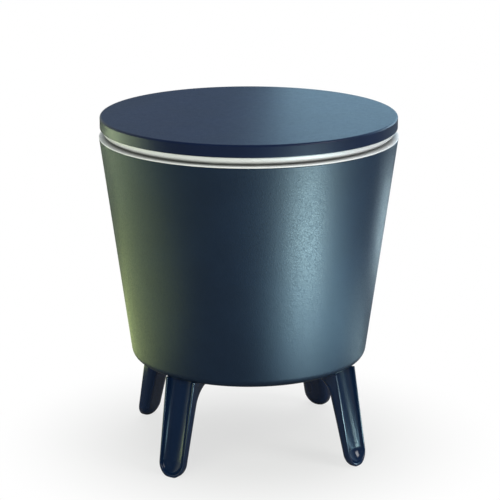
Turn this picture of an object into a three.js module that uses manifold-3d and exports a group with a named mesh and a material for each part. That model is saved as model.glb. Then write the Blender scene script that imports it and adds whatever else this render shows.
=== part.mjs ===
// Ice bucket coffee table: a double-walled tub on four splayed legs, closed by a round top that
// lifts on a central column and locks with a twist. Millimetres, +Z up, floor at zero, the
// column on the Z axis, front towards -Y.

import * as THREE from "three";
import { mergeVertices } from "three/addons/utils/BufferGeometryUtils.js";
import Module from "manifold-3d";

const wasm = await Module();
wasm.setup();

// Driving dimensions

const fit = 0.3; // gap between pieces that meet
const running = 0.6; // radial gap between pieces that slide or turn
const overrun = 2; // how far a cut runs past the face that it opens

const facets = { shell: 40, tube: 24, lobe: 32, boss: 8, screw: 6, arc: 4, hiddenArc: 2, toe: 5 };

const bucket = {
  height: 378.9, // underside to the rim that carries the liner's flange
  topRadius: 249,
  taper: 7.7, // degrees from upright
  baseRound: 17,
  wall: 3.5,
  ribs: 8,
  ribHeight: 42.9, // the ribs carry the liner's floor
  ribThickness: 3,
  ribInset: 16, // from the ribs' ends to the shell's base round
};

const liner = {
  wall: 3,
  flangeThickness: 2,
  edgeRound: 0.8,
  skirtDepth: 10,
  skirtWall: 2.2,
  flangeWidth: 19, // from the bucket's edge in to the mouth
  mouthDepth: 18,
  ledgeDrop: 5,
  insulation: 22, // air gap to the bucket's wall
  baseRound: 20,
  lap: 8, // how far the wall's foot reaches under the floor pan's edge
  chimneyDrop: 39.3, // from the rim down to the chimney's top
  chimneyRadius: 37, // inside, at its top
  chimneySpread: 4, // how much wider the chimney is at the floor
  chimneyRing: 10, // width of the seat ring round the chimney's top
  chimneyRingDepth: 8,
  chimneyFillet: 8,
};

const tabletop = {
  setback: 1.5, // its edge, in from the bucket's edge
  thickness: 20.4,
  deck: 4,
  skirt: 3.5,
  edgeRound: 3.4,
  lowerRound: 1.2,
  ribs: 12,
  ribDepth: 12,
  ribThickness: 2.5,
  ribPlay: 1.2, // from the ribs' ends to the tray's lip
  ringRadius: 120,
  bossRadius: 6,
};

const tray = {
  reveal: 14.2, // height that shows between the liner's flange and the tabletop
  wall: 3,
  lip: 9, // height that stands up inside the tabletop's skirt
  mouthOverlap: 1, // the foot of its outer curve, out from the liner's mouth
  lowerRise: 0.5, // the tray's lower edge above the flange
  plugPlay: 3, // the plug's side, in from the liner's mouth
  plugDepth: 11,
  plugRound: 5,
  screws: 6,
  screwInset: 42, // from the plug's side in to the screws
};

const column = {
  radius: 30,
  wall: 4,
  flangeRadius: 56,
  flangeThickness: 5,
  gussets: 4,
  gussetHeight: 12,
  gussetReach: 22,
  gussetThickness: 3,
  screws: 4,
  screwCircle: 44,
};

const lock = {
  lugs: 2,
  lugAngle: 20, // degrees of arc that each lug spans
  lugPlay: 1, // degrees of play on each side of a lug
  lugReach: 5,
  lugHeight: 14,
  twist: 45, // degrees from free to locked
};

const plug = {
  neckRadius: 27.5,
  flangeThickness: 4.5,
  spigotHeight: 30,
  wall: 3.5,
};

const glide = { height: 14 };

const guide = {
  wall: 5,
  footRing: 7.2,
  flangeRadius: 57,
  flangeThickness: 5,
  bossRadius: 6.5,
  bossHeight: 14,
  screws: 4,
  screwCircle: 48,
};

const collar = { length: 30, flangeThickness: 4, screws: 3 };

const leg = {
  height: 157.5, // floor to the bucket's underside
  splay: 10.45, // degrees of the outer face from upright
  setback: 0.4, // the outer face's root, in from the bucket's side line
  toeWidth: 50.4,
  rootWidth: 58,
  toeDepth: 16,
  tipDepth: 9, // the toe's back is rounded off to this at the floor
  rootDepth: 28,
  wall: 3,
  backRound: 14, // how far each rounded back corner reaches in from the side
  backRoundShare: 0.6, // share of the depth that the rounded corner takes
  flareReach: 20, // fillet that runs from the back face into the tab
  flareHeight: 26,
  soleCut: 1.5, // how much the round toe is cut flat
  sole: 3.6,
  crown: 3.5, // how far the root climbs round the bucket's base edge
  tabLength: 40,
  tabWidth: 46,
  tabThickness: 5,
  tabRound: 9,
  screwPitch: 26,
  screwInset: 12,
};

const legBoss = { radius: 6.5, height: 18 };

const drain = {
  placeShare: 0.4868, // share of the way across the liner's floor, towards the back
  pipeRadius: 12.5,
  boreRadius: 9,
  flangeRadius: 21,
  flangeThickness: 3,
  sealThickness: 2,
  drop: 15, // the pipe's end below the underside
  nutThickness: 8,
  nutRadius: 19,
  capRadius: 18,
  capLobes: 8,
  capLobeDepth: 1.4,
  capFloor: 3,
  gasketThickness: 2,
  play: 0.8,
};

// Screw sizes: shank radius and length, head radius and height
const screwSize = {
  tray: { shank: 2.1, length: 20, head: 4.4, rise: 2.6 },
  column: { shank: 2.6, length: 26, head: 5, rise: 2.8 },
  collar: { shank: 1.6, length: 10.5, head: 3.4, rise: 2.2 },
  guide: { shank: 2.1, length: 15, head: 4.4, rise: 2.6 },
  leg: { shank: 2.4, length: 22, head: 5, rise: 2.8 },
};

const finish = {
  navy: { color: 0x1f2f40, roughness: 0.5, metalness: 0 },
  glossNavy: { color: 0x18253a, roughness: 0.32, metalness: 0 },
  white: { color: 0xf1f1f3, roughness: 0.4, metalness: 0 },
  acetal: { color: 0xdedfe0, roughness: 0.35, metalness: 0 },
  steel: { color: 0xb4b7ba, roughness: 0.3, metalness: 1 },
  rubber: { color: 0x202124, roughness: 0.8, metalness: 0 },
};

// Angles

const fullTurn = 2 * Math.PI;
const quarterTurn = fullTurn / 4;
const radians = (degrees) => THREE.MathUtils.degToRad(degrees);
const taper = radians(bucket.taper);
const splay = radians(leg.splay);

// Levels, measured upwards from the bucket's underside

const rimLevel = bucket.height;
const flangeTop = rimLevel + liner.flangeThickness;
const tableUnderside = flangeTop + tray.reveal;
const trayBottom = flangeTop - tray.plugDepth;
const trayFloorTop = trayBottom + tray.wall;
const deckUnderside = tableUnderside + tabletop.thickness - tabletop.deck;
const linerBase = bucket.wall + bucket.ribHeight + fit;
const linerFloorTop = linerBase + liner.wall;
const lapLevel = (linerBase + linerFloorTop) / 2;
const chimneyTop = rimLevel - liner.chimneyDrop;
const collarBottom = chimneyTop + fit - collar.length;
const guideFoot = bucket.wall + fit;
const guideTop = collarBottom - fit;
const channelEnd = guideFoot + guide.footRing;
const glideFoot = channelEnd + fit;
const columnFoot = glideFoot + glide.height + fit;
const columnTop = trayBottom - fit;
const lift = collarBottom - fit - lock.lugHeight - columnFoot;

// Radii that neighbours share

const columnBore = column.radius - column.wall;
const guideBore = column.radius + running;
const guideRadius = guideBore + guide.wall;
const lugRadius = column.radius + lock.lugReach;
const mouthRadius = bucket.topRadius - liner.flangeWidth;
const tabletopRadius = bucket.topRadius - tabletop.setback;
const trayFootRadius = mouthRadius + tray.mouthOverlap;
const plugRadius = mouthRadius - tray.plugPlay;
const trayScrewCircle = plugRadius - tray.screwInset;
const chimneyRadiusOut = liner.chimneyRadius + liner.wall;
const chimneyFoot = chimneyRadiusOut + liner.chimneySpread;
const ringRadius = chimneyRadiusOut + liner.chimneyRing;
const collarScrewCircle = chimneyRadiusOut + liner.chimneyRing / 2;
const bucketRadiusAt = (z) => bucket.topRadius - (rimLevel - z) * Math.tan(taper);
const linerRadiusAt = (z) =>
  bucketRadiusAt(z) - (bucket.wall + liner.insulation + liner.wall) / Math.cos(taper);
const linerFloorRound = liner.baseRound - liner.wall;
const floorEdge = linerRadiusAt(linerFloorTop + linerFloorRound) - linerFloorRound / Math.cos(taper);
const drainOffset = THREE.MathUtils.lerp(chimneyFoot + liner.chimneyFillet, floorEdge,
  drain.placeShare);

// Solids from three.js geometries

// A closed geometry as a solid that can be joined and cut
function solid(geometry) {
  const bare = new THREE.BufferGeometry();
  bare.setAttribute("position", geometry.getAttribute("position").clone());
  bare.setIndex(geometry.index);
  const merged = mergeVertices(bare, fit / 1000);
  const corners = merged.index.array;
  const kept = [];
  for (let i = 0; i < corners.length; i += 3) {
    const [a, b, c] = corners.slice(i, i + 3);
    if (a !== b && b !== c && c !== a) kept.push(a, b, c);
  }
  return new wasm.Manifold(
    new wasm.Mesh({
      numProp: 3,
      vertProperties: merged.attributes.position.array,
      triVerts: new Uint32Array(kept),
    }),
  );
}

function geometryOf(shape) {
  const mesh = shape.getMesh();
  const geometry = new THREE.BufferGeometry();
  const positions = new Float32Array(mesh.vertProperties);
  geometry.setAttribute("position", new THREE.BufferAttribute(positions, 3));
  geometry.setIndex(new THREE.BufferAttribute(new Uint32Array(mesh.triVerts), 1));
  geometry.computeVertexNormals();
  return geometry;
}

// A profile of [radius, height] points turned about the Z axis
function revolve(profile, segments) {
  const points = profile.map(([r, z]) => new THREE.Vector2(r, z));
  if (THREE.ShapeUtils.area(points) < 0) points.reverse();
  const first = points[0];
  const last = points[points.length - 1];
  const onAxis = first.x === 0 && last.x === 0;
  if (!onAxis) points.push(first.clone());
  const geometry = new THREE.LatheGeometry(points, segments);
  geometry.rotateX(quarterTurn);
  return solid(geometry);
}

const disc = (radius, low, high, segments) =>
  revolve([[0, low], [radius, low], [radius, high], [0, high]], segments);

const ring = (inner, outer, low, high, segments) =>
  revolve([[inner, low], [outer, low], [outer, high], [inner, high]], segments);

// An outline in the XY plane raised from one height to another
function prism(outline, low, high) {
  const shape = outline instanceof THREE.Shape ? outline : new THREE.Shape(outline);
  const geometry = new THREE.ExtrudeGeometry(shape, {
    depth: high - low,
    bevelEnabled: false,
    steps: 1,
    curveSegments: facets.arc,
  });
  geometry.translate(0, 0, low);
  return solid(geometry);
}

// An upright plate: an outline of [x, z] points, centred on the XZ plane
function uprightPlate(outline, thickness) {
  const shape = new THREE.Shape(outline.map(([x, z]) => new THREE.Vector2(x, z)));
  const geometry = new THREE.ExtrudeGeometry(shape, { depth: thickness, bevelEnabled: false });
  geometry.translate(0, 0, -thickness / 2);
  geometry.rotateX(quarterTurn);
  return solid(geometry);
}

// A sector of a ring, between two radii, two angles in degrees and two heights
function sector(inner, outer, from, to, low, high) {
  const shape = new THREE.Shape();
  shape.absarc(0, 0, outer, radians(from), radians(to), false);
  shape.absarc(0, 0, inner, radians(to), radians(from), true);
  return prism(shape, low, high);
}

// Rings of points, all with as many points, skinned from the first to the last and closed
function loft(rings) {
  const count = rings[0].length;
  const positions = rings.flat().flatMap((point) => point.toArray());
  const faces = [];
  for (let level = 0; level + 1 < rings.length; level += 1) {
    for (let i = 0; i < count; i += 1) {
      const a = level * count + i;
      const b = level * count + ((i + 1) % count);
      faces.push(a, b, b + count, a, b + count, a + count);
    }
  }
  const outline = rings[0].map((point) => new THREE.Vector2(point.x, point.y));
  const lastRing = (rings.length - 1) * count;
  for (const [a, b, c] of THREE.ShapeUtils.triangulateShape(outline, [])) {
    faces.push(c, b, a, lastRing + a, lastRing + b, lastRing + c);
  }
  const geometry = new THREE.BufferGeometry();
  geometry.setAttribute("position", new THREE.Float32BufferAttribute(positions, 3));
  geometry.setIndex(faces);
  return solid(geometry);
}

const union = (shapes) => shapes.reduce((whole, next) => whole.add(next));

const cut = (shape, tools) => tools.reduce((left, tool) => left.subtract(tool), shape);

// Angles in degrees of a ring of equally spaced places
const anglesRound = (count, start) =>
  Array.from({ length: count }, (_, i) => start + (i * 360) / count);

const polar = (radius, degrees, z) =>
  new THREE.Vector3(radius * Math.cos(radians(degrees)), radius * Math.sin(radians(degrees)), z);

const turned = (shape, degrees) => shape.rotate([0, 0, degrees]);

const moved = (shape, place) => shape.translate(place.toArray());

// A tapered tub's outline from its axis out along the base and up the side. The side line is a
// function of height, and the base corner is an arc that touches the base and the side.
function tubOutline(sideAt, base, top, round, steps) {
  const centreHeight = base + round;
  const centreRadius = sideAt(centreHeight) - round / Math.cos(taper);
  const points = [[0, base]];
  for (let i = 0; i <= steps; i += 1) {
    const angle = -quarterTurn + (i / steps) * (quarterTurn - taper);
    const r = centreRadius + round * Math.cos(angle);
    points.push([r, centreHeight + round * Math.sin(angle)]);
  }
  points.push([sideAt(top), top]);
  return points;
}

// The bucket's outer skin, moved outwards by a distance
function bucketSkin(outwards, top) {
  const sideAt = (z) => bucketRadiusAt(z) + outwards / Math.cos(taper);
  const steps = outwards < 0 ? facets.hiddenArc : facets.arc;
  return tubOutline(sideAt, -outwards, top, bucket.baseRound + outwards, steps);
}

// Legs: a trough, open outwards, modelled with its outward side towards +X and its foot at zero

const legFace = (z) =>
  bucketRadiusAt(0) - leg.setback + (leg.height - z) * Math.tan(splay);
const toeRadius = leg.toeWidth / 2;
const toeCentre = toeRadius - leg.soleCut;
const legShareAt = (z) => (z - toeCentre) / (leg.height - toeCentre);
const legHalfWidth = (z) =>
  THREE.MathUtils.lerp(toeRadius, leg.rootWidth / 2, legShareAt(z));
const tipShareAt = (z) => Math.sqrt(1 - Math.min(1, Math.max(0, 1 - z / toeCentre)) ** 2);
const legDepth = (z) => THREE.MathUtils.lerp(leg.toeDepth, leg.rootDepth, z / leg.height)
  - (leg.toeDepth - leg.tipDepth) * (1 - tipShareAt(z));
const legBack = (z) => legFace(z) - legDepth(z);
const tabLow = leg.height - leg.tabThickness;
const tabEnd = legBack(leg.height) - leg.tabLength;

// The section of the leg at a height: straight sides and elliptic back corners. Inset moves its
// sides and back inwards, flare moves its back towards the column, and front is how far it runs
// past the outer face.
function legSection(z, { inset = 0, flare = 0, front = 0 }) {
  const half = legHalfWidth(z) - inset;
  const across = leg.backRound - inset;
  const deep = leg.backRoundShare * legDepth(z) - inset;
  const cornerX = legBack(z) - flare + inset + deep;
  const face = legFace(z) + front;
  const points = [new THREE.Vector3(face, half, z)];
  for (const side of [1, -1]) {
    for (let i = 0; i <= facets.arc; i += 1) {
      const share = side > 0 ? i / facets.arc : 1 - i / facets.arc;
      const angle = quarterTurn * share;
      const y = half - across + across * Math.cos(angle);
      points.push(new THREE.Vector3(cornerX - deep * Math.sin(angle), side * y, z));
    }
  }
  points.push(new THREE.Vector3(face, -half, z));
  return points;
}

// A tongue in the YZ plane with a round lower end, running through the leg along X
function tongue(radius, centre) {
  const top = leg.height + leg.crown + overrun;
  const topHalf = leg.rootWidth / 2 + overrun;
  const shape = new THREE.Shape();
  shape.moveTo(topHalf, top);
  shape.lineTo(-topHalf, top);
  shape.lineTo(-radius, centre);
  shape.absarc(0, centre, radius, 2 * quarterTurn, 4 * quarterTurn, false);
  const length = legFace(0) + overrun;
  const geometry = new THREE.ExtrudeGeometry(shape, {
    depth: length,
    bevelEnabled: false,
    curveSegments: facets.toe,
  });
  geometry.rotateX(quarterTurn);
  geometry.rotateZ(quarterTurn);
  return solid(geometry);
}

// Places of a leg's screws in the leg's own frame
const legScrewPlaces = (z) =>
  [1, -1].map(
    (side) => new THREE.Vector3(tabEnd + leg.screwInset, (side * leg.screwPitch) / 2, z),
  );

function legTab(low, high) {
  const root = legBack(leg.height);
  const half = leg.tabWidth / 2;
  const shape = new THREE.Shape();
  shape.moveTo(root, half);
  shape.lineTo(tabEnd + leg.tabRound, half);
  shape.absarc(tabEnd + leg.tabRound, half - leg.tabRound, leg.tabRound, quarterTurn,
    2 * quarterTurn, false);
  shape.absarc(tabEnd + leg.tabRound, leg.tabRound - half, leg.tabRound, 2 * quarterTurn,
    3 * quarterTurn, false);
  shape.lineTo(root, -half);
  return prism(shape, low, high);
}

function legShape() {
  const flareStart = tabLow - leg.flareHeight;
  const top = leg.height + leg.crown;
  const tipLevels = [-overrun];
  for (let i = 0; i <= facets.arc; i += 1) tipLevels.push(toeCentre * (i / facets.arc) ** 2);
  const rings = [...tipLevels.map((z) => legSection(z, {})), legSection(flareStart, {})];
  for (let i = 1; i <= facets.arc; i += 1) {
    const angle = (i / facets.arc) * quarterTurn;
    const flare = leg.flareReach * (1 - Math.cos(angle));
    rings.push(legSection(flareStart + leg.flareHeight * Math.sin(angle), { flare }));
  }
  rings.push(legSection(top, { flare: leg.flareReach }));
  const outer = loft(rings).intersect(tongue(toeRadius, toeCentre));
  const sole = disc(legFace(-leg.height), 0, top, facets.tube);
  const hollow = { inset: leg.wall, front: overrun };
  const trough = loft([...tipLevels, top + overrun].map((z) => legSection(z, hollow)))
    .intersect(tongue(toeRadius - leg.wall, toeRadius - leg.wall + leg.sole));
  const tab = legTab(tabLow, leg.height);
  const seat = revolve(bucketSkin(fit, leg.crown + overrun).concat([[0, leg.crown + overrun]]),
    facets.shell).translate([0, 0, leg.height]);
  const { shank } = screwSize.leg;
  const hole = disc(shank + fit, tabLow - overrun, leg.height, facets.screw);
  const holes = legScrewPlaces(0).map((place) => moved(hole, place));
  return cut(outer.intersect(sole).add(tab), [trough, seat, ...holes]);
}

// Bucket: outer shell with ribs under the liner and bosses for the screws

const legAngles = {
  front_right: -45,
  back_right: 45,
  back_left: 135,
  front_left: -135,
};

const drainPlace = new THREE.Vector3(0, drainOffset, 0);

function bucketShape() {
  const skin = bucketSkin(0, rimLevel - fit);
  const lining = bucketSkin(-bucket.wall, rimLevel - fit);
  const shell = revolve([...skin, ...lining.reverse()], facets.shell);
  const innerEnd = guide.flangeRadius + guide.bossRadius;
  const outerEnd = bucketRadiusAt(0) - bucket.baseRound - bucket.ribInset;
  const rib = uprightPlate([
    [innerEnd, bucket.wall - fit], [outerEnd, bucket.wall - fit],
    [outerEnd, bucket.wall + bucket.ribHeight], [innerEnd, bucket.wall + bucket.ribHeight],
  ], bucket.ribThickness);
  const halfStep = 180 / bucket.ribs;
  const ribs = anglesRound(bucket.ribs, halfStep).map((angle) => turned(rib, angle));
  const bossTop = bucket.wall + legBoss.height;
  const boss = disc(legBoss.radius, 0, bossTop, facets.boss);
  const legHole = disc(screwSize.leg.shank + fit, -overrun,
    screwSize.leg.length - leg.tabThickness + overrun, facets.screw);
  const guideHole = disc(screwSize.guide.shank + fit, -overrun, bucket.wall + overrun,
    facets.screw);
  const bosses = [];
  const holes = [];
  for (const angle of Object.values(legAngles)) {
    for (const place of legScrewPlaces(0)) {
      bosses.push(turned(moved(boss, place), angle));
      holes.push(turned(moved(legHole, place), angle));
    }
  }
  for (const angle of anglesRound(guide.screws, halfStep)) {
    holes.push(moved(guideHole, polar(guide.screwCircle, angle, 0)));
  }
  const outlet = disc(drain.pipeRadius + drain.play, -overrun, bucket.wall + overrun,
    facets.tube);
  holes.push(moved(outlet, drainPlace));
  return cut(union([shell, ...ribs, ...bosses]), holes);
}

// Liner: rim flange, mouth, ledge and tapered wall in one skin, with a foot that the floor pan is
// welded to

function linerShape() {
  const skirtTop = bucketRadiusAt(rimLevel) - bucket.wall / Math.cos(taper) - fit;
  const skirtLow = skirtTop - liner.skirtDepth * Math.tan(taper);
  const ledgeTop = flangeTop - liner.mouthDepth;
  const ledgeLow = ledgeTop - liner.ledgeDrop;
  const wallOut = liner.wall / Math.cos(taper);
  const outerWall = tubOutline((z) => linerRadiusAt(z) + wallOut, linerBase, ledgeLow,
    liner.baseRound, facets.hiddenArc);
  const innerWall = tubOutline(linerRadiusAt, linerFloorTop, ledgeLow,
    linerFloorRound, facets.hiddenArc);
  const lapEnd = floorEdge - liner.lap;
  return revolve([
    [bucket.topRadius, rimLevel],
    [skirtTop, rimLevel],
    [skirtLow, rimLevel - liner.skirtDepth],
    [skirtLow - liner.skirtWall, rimLevel - liner.skirtDepth],
    [skirtTop - liner.skirtWall, rimLevel],
    [mouthRadius + liner.wall, rimLevel],
    [mouthRadius + liner.wall, ledgeTop - liner.wall],
    ...outerWall.slice(1).reverse(),
    [lapEnd, linerBase],
    [lapEnd, lapLevel - fit / 2],
    [floorEdge, lapLevel - fit / 2],
    ...innerWall.slice(1),
    [mouthRadius, ledgeTop],
    [mouthRadius, flangeTop - liner.edgeRound],
    [mouthRadius + liner.edgeRound, flangeTop],
    [bucket.topRadius - liner.edgeRound, flangeTop],
    [bucket.topRadius, flangeTop - liner.edgeRound],
  ], facets.shell);
}

// Liner's floor: a pan with the central chimney, lapped over the wall's foot

function floorShape() {
  const spreadBore = liner.chimneyRadius + liner.chimneySpread;
  const lapEdge = floorEdge - fit;
  const underEdge = lapEdge - liner.lap;
  const pan = revolve([
    [spreadBore, linerBase],
    [liner.chimneyRadius, chimneyTop],
    [ringRadius, chimneyTop],
    [ringRadius, chimneyTop - liner.chimneyRingDepth],
    [chimneyRadiusOut, chimneyTop - liner.chimneyRingDepth - liner.chimneyRing],
    [chimneyFoot, linerFloorTop + liner.chimneyFillet],
    [chimneyFoot + liner.chimneyFillet, linerFloorTop],
    [lapEdge, linerFloorTop],
    [lapEdge, lapLevel + fit / 2],
    [underEdge, lapLevel + fit / 2],
    [underEdge, linerBase],
  ], facets.shell);
  const outlet = disc(drain.pipeRadius + drain.play, linerBase - overrun,
    linerFloorTop + overrun, facets.tube);
  const hole = disc(screwSize.collar.shank + fit, chimneyTop - liner.chimneyRingDepth + fit,
    chimneyTop + overrun, facets.screw);
  const holes = anglesRound(collar.screws, 0)
    .map((angle) => moved(hole, polar(collarScrewCircle, angle, 0)));
  return cut(pan, [moved(outlet, drainPlace), ...holes]);
}

// Guide tube: two upright channels, open at the top, with a locking pocket beside each end

function guideShape() {
  const flangeTopLevel = guideFoot + guide.flangeThickness;
  const body = revolve([
    [guideBore, guideFoot],
    [guide.flangeRadius, guideFoot],
    [guide.flangeRadius, flangeTopLevel],
    [guideRadius, flangeTopLevel],
    [guideRadius, guideTop],
    [guideBore, guideTop],
  ], facets.tube);
  const boss = disc(guide.bossRadius, guideFoot, guideFoot + guide.bossHeight, facets.boss);
  const hole = disc(screwSize.guide.shank + fit, guideFoot - overrun,
    guideFoot + guide.bossHeight - fit, facets.screw);
  const screwAngles = anglesRound(guide.screws, 180 / bucket.ribs);
  const spots = screwAngles.map((angle) => polar(guide.screwCircle, angle, 0));
  const bore = disc(guideBore, guideFoot - overrun, guideTop, facets.tube);
  const half = lock.lugAngle / 2 + lock.lugPlay;
  const inner = column.radius - overrun;
  const outer = guideRadius + overrun;
  const pocketHeight = lock.lugHeight + 2 * fit;
  const lowPocket = columnFoot - fit;
  const cuts = [];
  for (const angle of anglesRound(lock.lugs, 0)) {
    const turn = angle - lock.twist - half;
    cuts.push(sector(inner, outer, angle - half, angle + half, channelEnd, guideTop + overrun));
    cuts.push(sector(inner, outer, turn, angle + half, lowPocket, lowPocket + pocketHeight));
    cuts.push(sector(inner, outer, turn, angle + half, lowPocket + lift, guideTop + overrun));
  }
  const bossed = union([body, ...spots.map((place) => moved(boss, place))]);
  return cut(bossed, [bore, ...cuts, ...spots.map((place) => moved(hole, place))]);
}

// Column: flange with gussets at the top, bayonet lugs at the foot

function columnShape() {
  const flangeLow = columnTop - column.flangeThickness;
  const tube = revolve([
    [columnBore, columnFoot],
    [column.radius, columnFoot],
    [column.radius, flangeLow],
    [column.flangeRadius, flangeLow],
    [column.flangeRadius, columnTop],
    [columnBore, columnTop],
  ], facets.tube);
  const inner = column.radius - column.wall / 2;
  const gusset = uprightPlate([
    [inner, flangeLow + fit],
    [inner, flangeLow - column.gussetHeight],
    [column.radius, flangeLow - column.gussetHeight],
    [column.radius + column.gussetReach, flangeLow],
    [column.radius + column.gussetReach, flangeLow + fit],
  ], column.gussetThickness);
  const gussets = anglesRound(column.gussets, 0).map((angle) => turned(gusset, angle));
  const half = lock.lugAngle / 2;
  const lugs = anglesRound(lock.lugs, 0).map((angle) =>
    sector(inner, lugRadius, angle - half, angle + half, columnFoot, columnFoot + lock.lugHeight));
  const hole = disc(screwSize.column.shank + fit, flangeLow - overrun, columnTop + overrun,
    facets.screw);
  const holes = anglesRound(column.screws, 180 / column.screws)
    .map((angle) => moved(hole, polar(column.screwCircle, angle, 0)));
  return cut(union([tube, ...gussets, ...lugs]), holes);
}

const plugShape = () => {
  const top = columnFoot + plug.spigotHeight;
  const spigot = columnBore - fit;
  const flangeHigh = glideFoot - fit;
  const flangeLow = flangeHigh - plug.flangeThickness;
  return revolve([
    [spigot - plug.wall, flangeLow],
    [column.radius, flangeLow],
    [column.radius, flangeHigh],
    [plug.neckRadius, flangeHigh],
    [plug.neckRadius, columnFoot - fit],
    [spigot, columnFoot - fit],
    [spigot, top],
    [0, top],
    [0, top - plug.wall],
    [spigot - plug.wall, top - plug.wall],
  ], facets.tube);
};

function glideShape() {
  const top = glideFoot + glide.height;
  const bore = plug.neckRadius + running;
  const body = ring(bore, column.radius + fit, glideFoot, top, facets.tube);
  const half = lock.lugAngle / 2;
  const inner = (bore + column.radius) / 2;
  const keys = anglesRound(lock.lugs, 0).map((angle) =>
    sector(inner, lugRadius, angle - half, angle + half, glideFoot, top));
  return union([body, ...keys]);
}

function collarShape() {
  const flangeLow = chimneyTop + fit;
  const bore = column.radius + running;
  const spigot = liner.chimneyRadius - fit;
  const body = revolve([
    [bore, collarBottom],
    [spigot, collarBottom],
    [spigot, flangeLow],
    [ringRadius, flangeLow],
    [ringRadius, flangeLow + collar.flangeThickness / 2],
    [ringRadius - collar.flangeThickness / 2, flangeLow + collar.flangeThickness],
    [bore, flangeLow + collar.flangeThickness],
  ], facets.tube);
  const hole = disc(screwSize.collar.shank + fit, flangeLow - overrun,
    flangeLow + collar.flangeThickness + overrun, facets.screw);
  const holes = anglesRound(collar.screws, 0)
    .map((angle) => moved(hole, polar(collarScrewCircle, angle, 0)));
  return cut(body, holes);
}

// Tabletop: deck and skirt, radial ribs, a ring rib and bosses down to the tray

const placesRound = (radius, angles, z) => angles.map((angle) => polar(radius, angle, z));
const trayScrewAngles = anglesRound(tray.screws, 0);
const columnScrewAngles = anglesRound(column.screws, 180 / column.screws);
const trayScrewPlaces = placesRound(trayScrewCircle, trayScrewAngles, 0);
const columnScrewPlaces = placesRound(column.screwCircle, columnScrewAngles, 0);

function tabletopShape() {
  const top = tableUnderside + tabletop.thickness;
  const edge = [];
  for (let i = 0; i <= facets.arc; i += 1) {
    const angle = (i / facets.arc) * quarterTurn;
    edge.push([
      tabletopRadius - tabletop.edgeRound * (1 - Math.cos(angle)),
      top - tabletop.edgeRound * (1 - Math.sin(angle)),
    ]);
  }
  const inside = tabletopRadius - tabletop.skirt;
  const shell = revolve([
    [0, deckUnderside],
    [inside, deckUnderside],
    [inside, tableUnderside],
    [tabletopRadius - tabletop.lowerRound, tableUnderside],
    [tabletopRadius, tableUnderside + tabletop.lowerRound],
    ...edge,
    [0, top],
  ], facets.shell);
  const ribLow = deckUnderside - tabletop.ribDepth;
  const ribEnd = inside - fit - tray.wall - tabletop.ribPlay;
  const rib = uprightPlate([
    [column.screwCircle, ribLow], [ribEnd, ribLow],
    [ribEnd, deckUnderside + fit], [column.screwCircle, deckUnderside + fit],
  ], tabletop.ribThickness);
  const ribs = anglesRound(tabletop.ribs, 0).map((angle) => turned(rib, angle));
  const hoop = ring(tabletop.ringRadius, tabletop.ringRadius + tabletop.ribThickness, ribLow,
    deckUnderside + fit, facets.tube);
  const bossLow = trayFloorTop + fit;
  const boss = disc(tabletop.bossRadius, bossLow, deckUnderside + fit, facets.boss);
  const holeTop = deckUnderside - tabletop.deck;
  const pilot = ({ shank }) => disc(shank + fit, bossLow - overrun, holeTop, facets.screw);
  const bosses = [...trayScrewPlaces, ...columnScrewPlaces].map((place) => moved(boss, place));
  const trayHoles = trayScrewPlaces.map((place) => moved(pilot(screwSize.tray), place));
  const columnHoles = columnScrewPlaces.map((place) => moved(pilot(screwSize.column), place));
  return cut(union([shell, ...ribs, hoop, ...bosses]), [...trayHoles, ...columnHoles]);
}

// Tray: a dish whose lip stands inside the tabletop's skirt and whose plug enters the mouth

function trayShape() {
  const lipRadius = tabletopRadius - tabletop.skirt - fit;
  const lipTop = tableUnderside + tray.lip;
  const lowerEdge = flangeTop + tray.lowerRise;
  const outer = [];
  const inner = [];
  const reach = lipRadius - trayFootRadius;
  const drop = tableUnderside - lowerEdge;
  for (let i = 0; i <= facets.arc; i += 1) {
    const angle = (i / facets.arc) * quarterTurn;
    outer.push([trayFootRadius + reach * Math.cos(angle),
      tableUnderside - drop * Math.sin(angle)]);
  }
  for (let i = 0; i <= facets.hiddenArc; i += 1) {
    const angle = (i / facets.hiddenArc) * quarterTurn;
    inner.push([trayFootRadius + (reach - tray.wall) * Math.cos(angle),
      tableUnderside - (drop - tray.wall) * Math.sin(angle)]);
  }
  const body = revolve([
    [0, trayBottom],
    [plugRadius - tray.plugRound, trayBottom],
    [plugRadius, trayBottom + tray.plugRound],
    [plugRadius, lowerEdge],
    ...outer.reverse(),
    [lipRadius, lipTop],
    [lipRadius - tray.wall, lipTop],
    ...inner,
    [plugRadius - tray.wall, lowerEdge + tray.wall],
    [plugRadius - tray.wall, trayFloorTop],
    [0, trayFloorTop],
  ], facets.shell);
  const low = trayBottom - overrun;
  const high = trayFloorTop + overrun;
  const screwHole = disc(screwSize.tray.shank + fit, low, high, facets.screw);
  const columnHole = disc(screwSize.column.shank + fit, low, high, facets.screw);
  return cut(body, [
    ...trayScrewPlaces.map((place) => moved(screwHole, place)),
    ...columnScrewPlaces.map((place) => moved(columnHole, place)),
  ]);
}

// Drain, in a frame on the pipe's axis at the bucket's underside

const nutTop = -fit;
const nutLow = nutTop - drain.nutThickness;
const capTop = nutLow - fit;
const gasketTop = -drain.drop - fit;
const capFloorTop = gasketTop - drain.gasketThickness - fit;
const sealLow = linerFloorTop + fit;
const spoutFlangeLow = sealLow + drain.sealThickness + fit;
const capBore = drain.pipeRadius + running;

const spoutShape = () => {
  const flangeHigh = spoutFlangeLow + drain.flangeThickness;
  return revolve([
    [drain.boreRadius, -drain.drop],
    [drain.pipeRadius, -drain.drop],
    [drain.pipeRadius, spoutFlangeLow],
    [drain.flangeRadius, spoutFlangeLow],
    [drain.flangeRadius - drain.flangeThickness / 2, flangeHigh],
    [drain.boreRadius + drain.flangeThickness, flangeHigh],
    [drain.boreRadius, flangeHigh - drain.flangeThickness],
  ], facets.tube);
};

const sealShape = () =>
  ring(drain.pipeRadius + fit, drain.flangeRadius - fit, sealLow, sealLow + drain.sealThickness,
    facets.tube);

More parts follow.
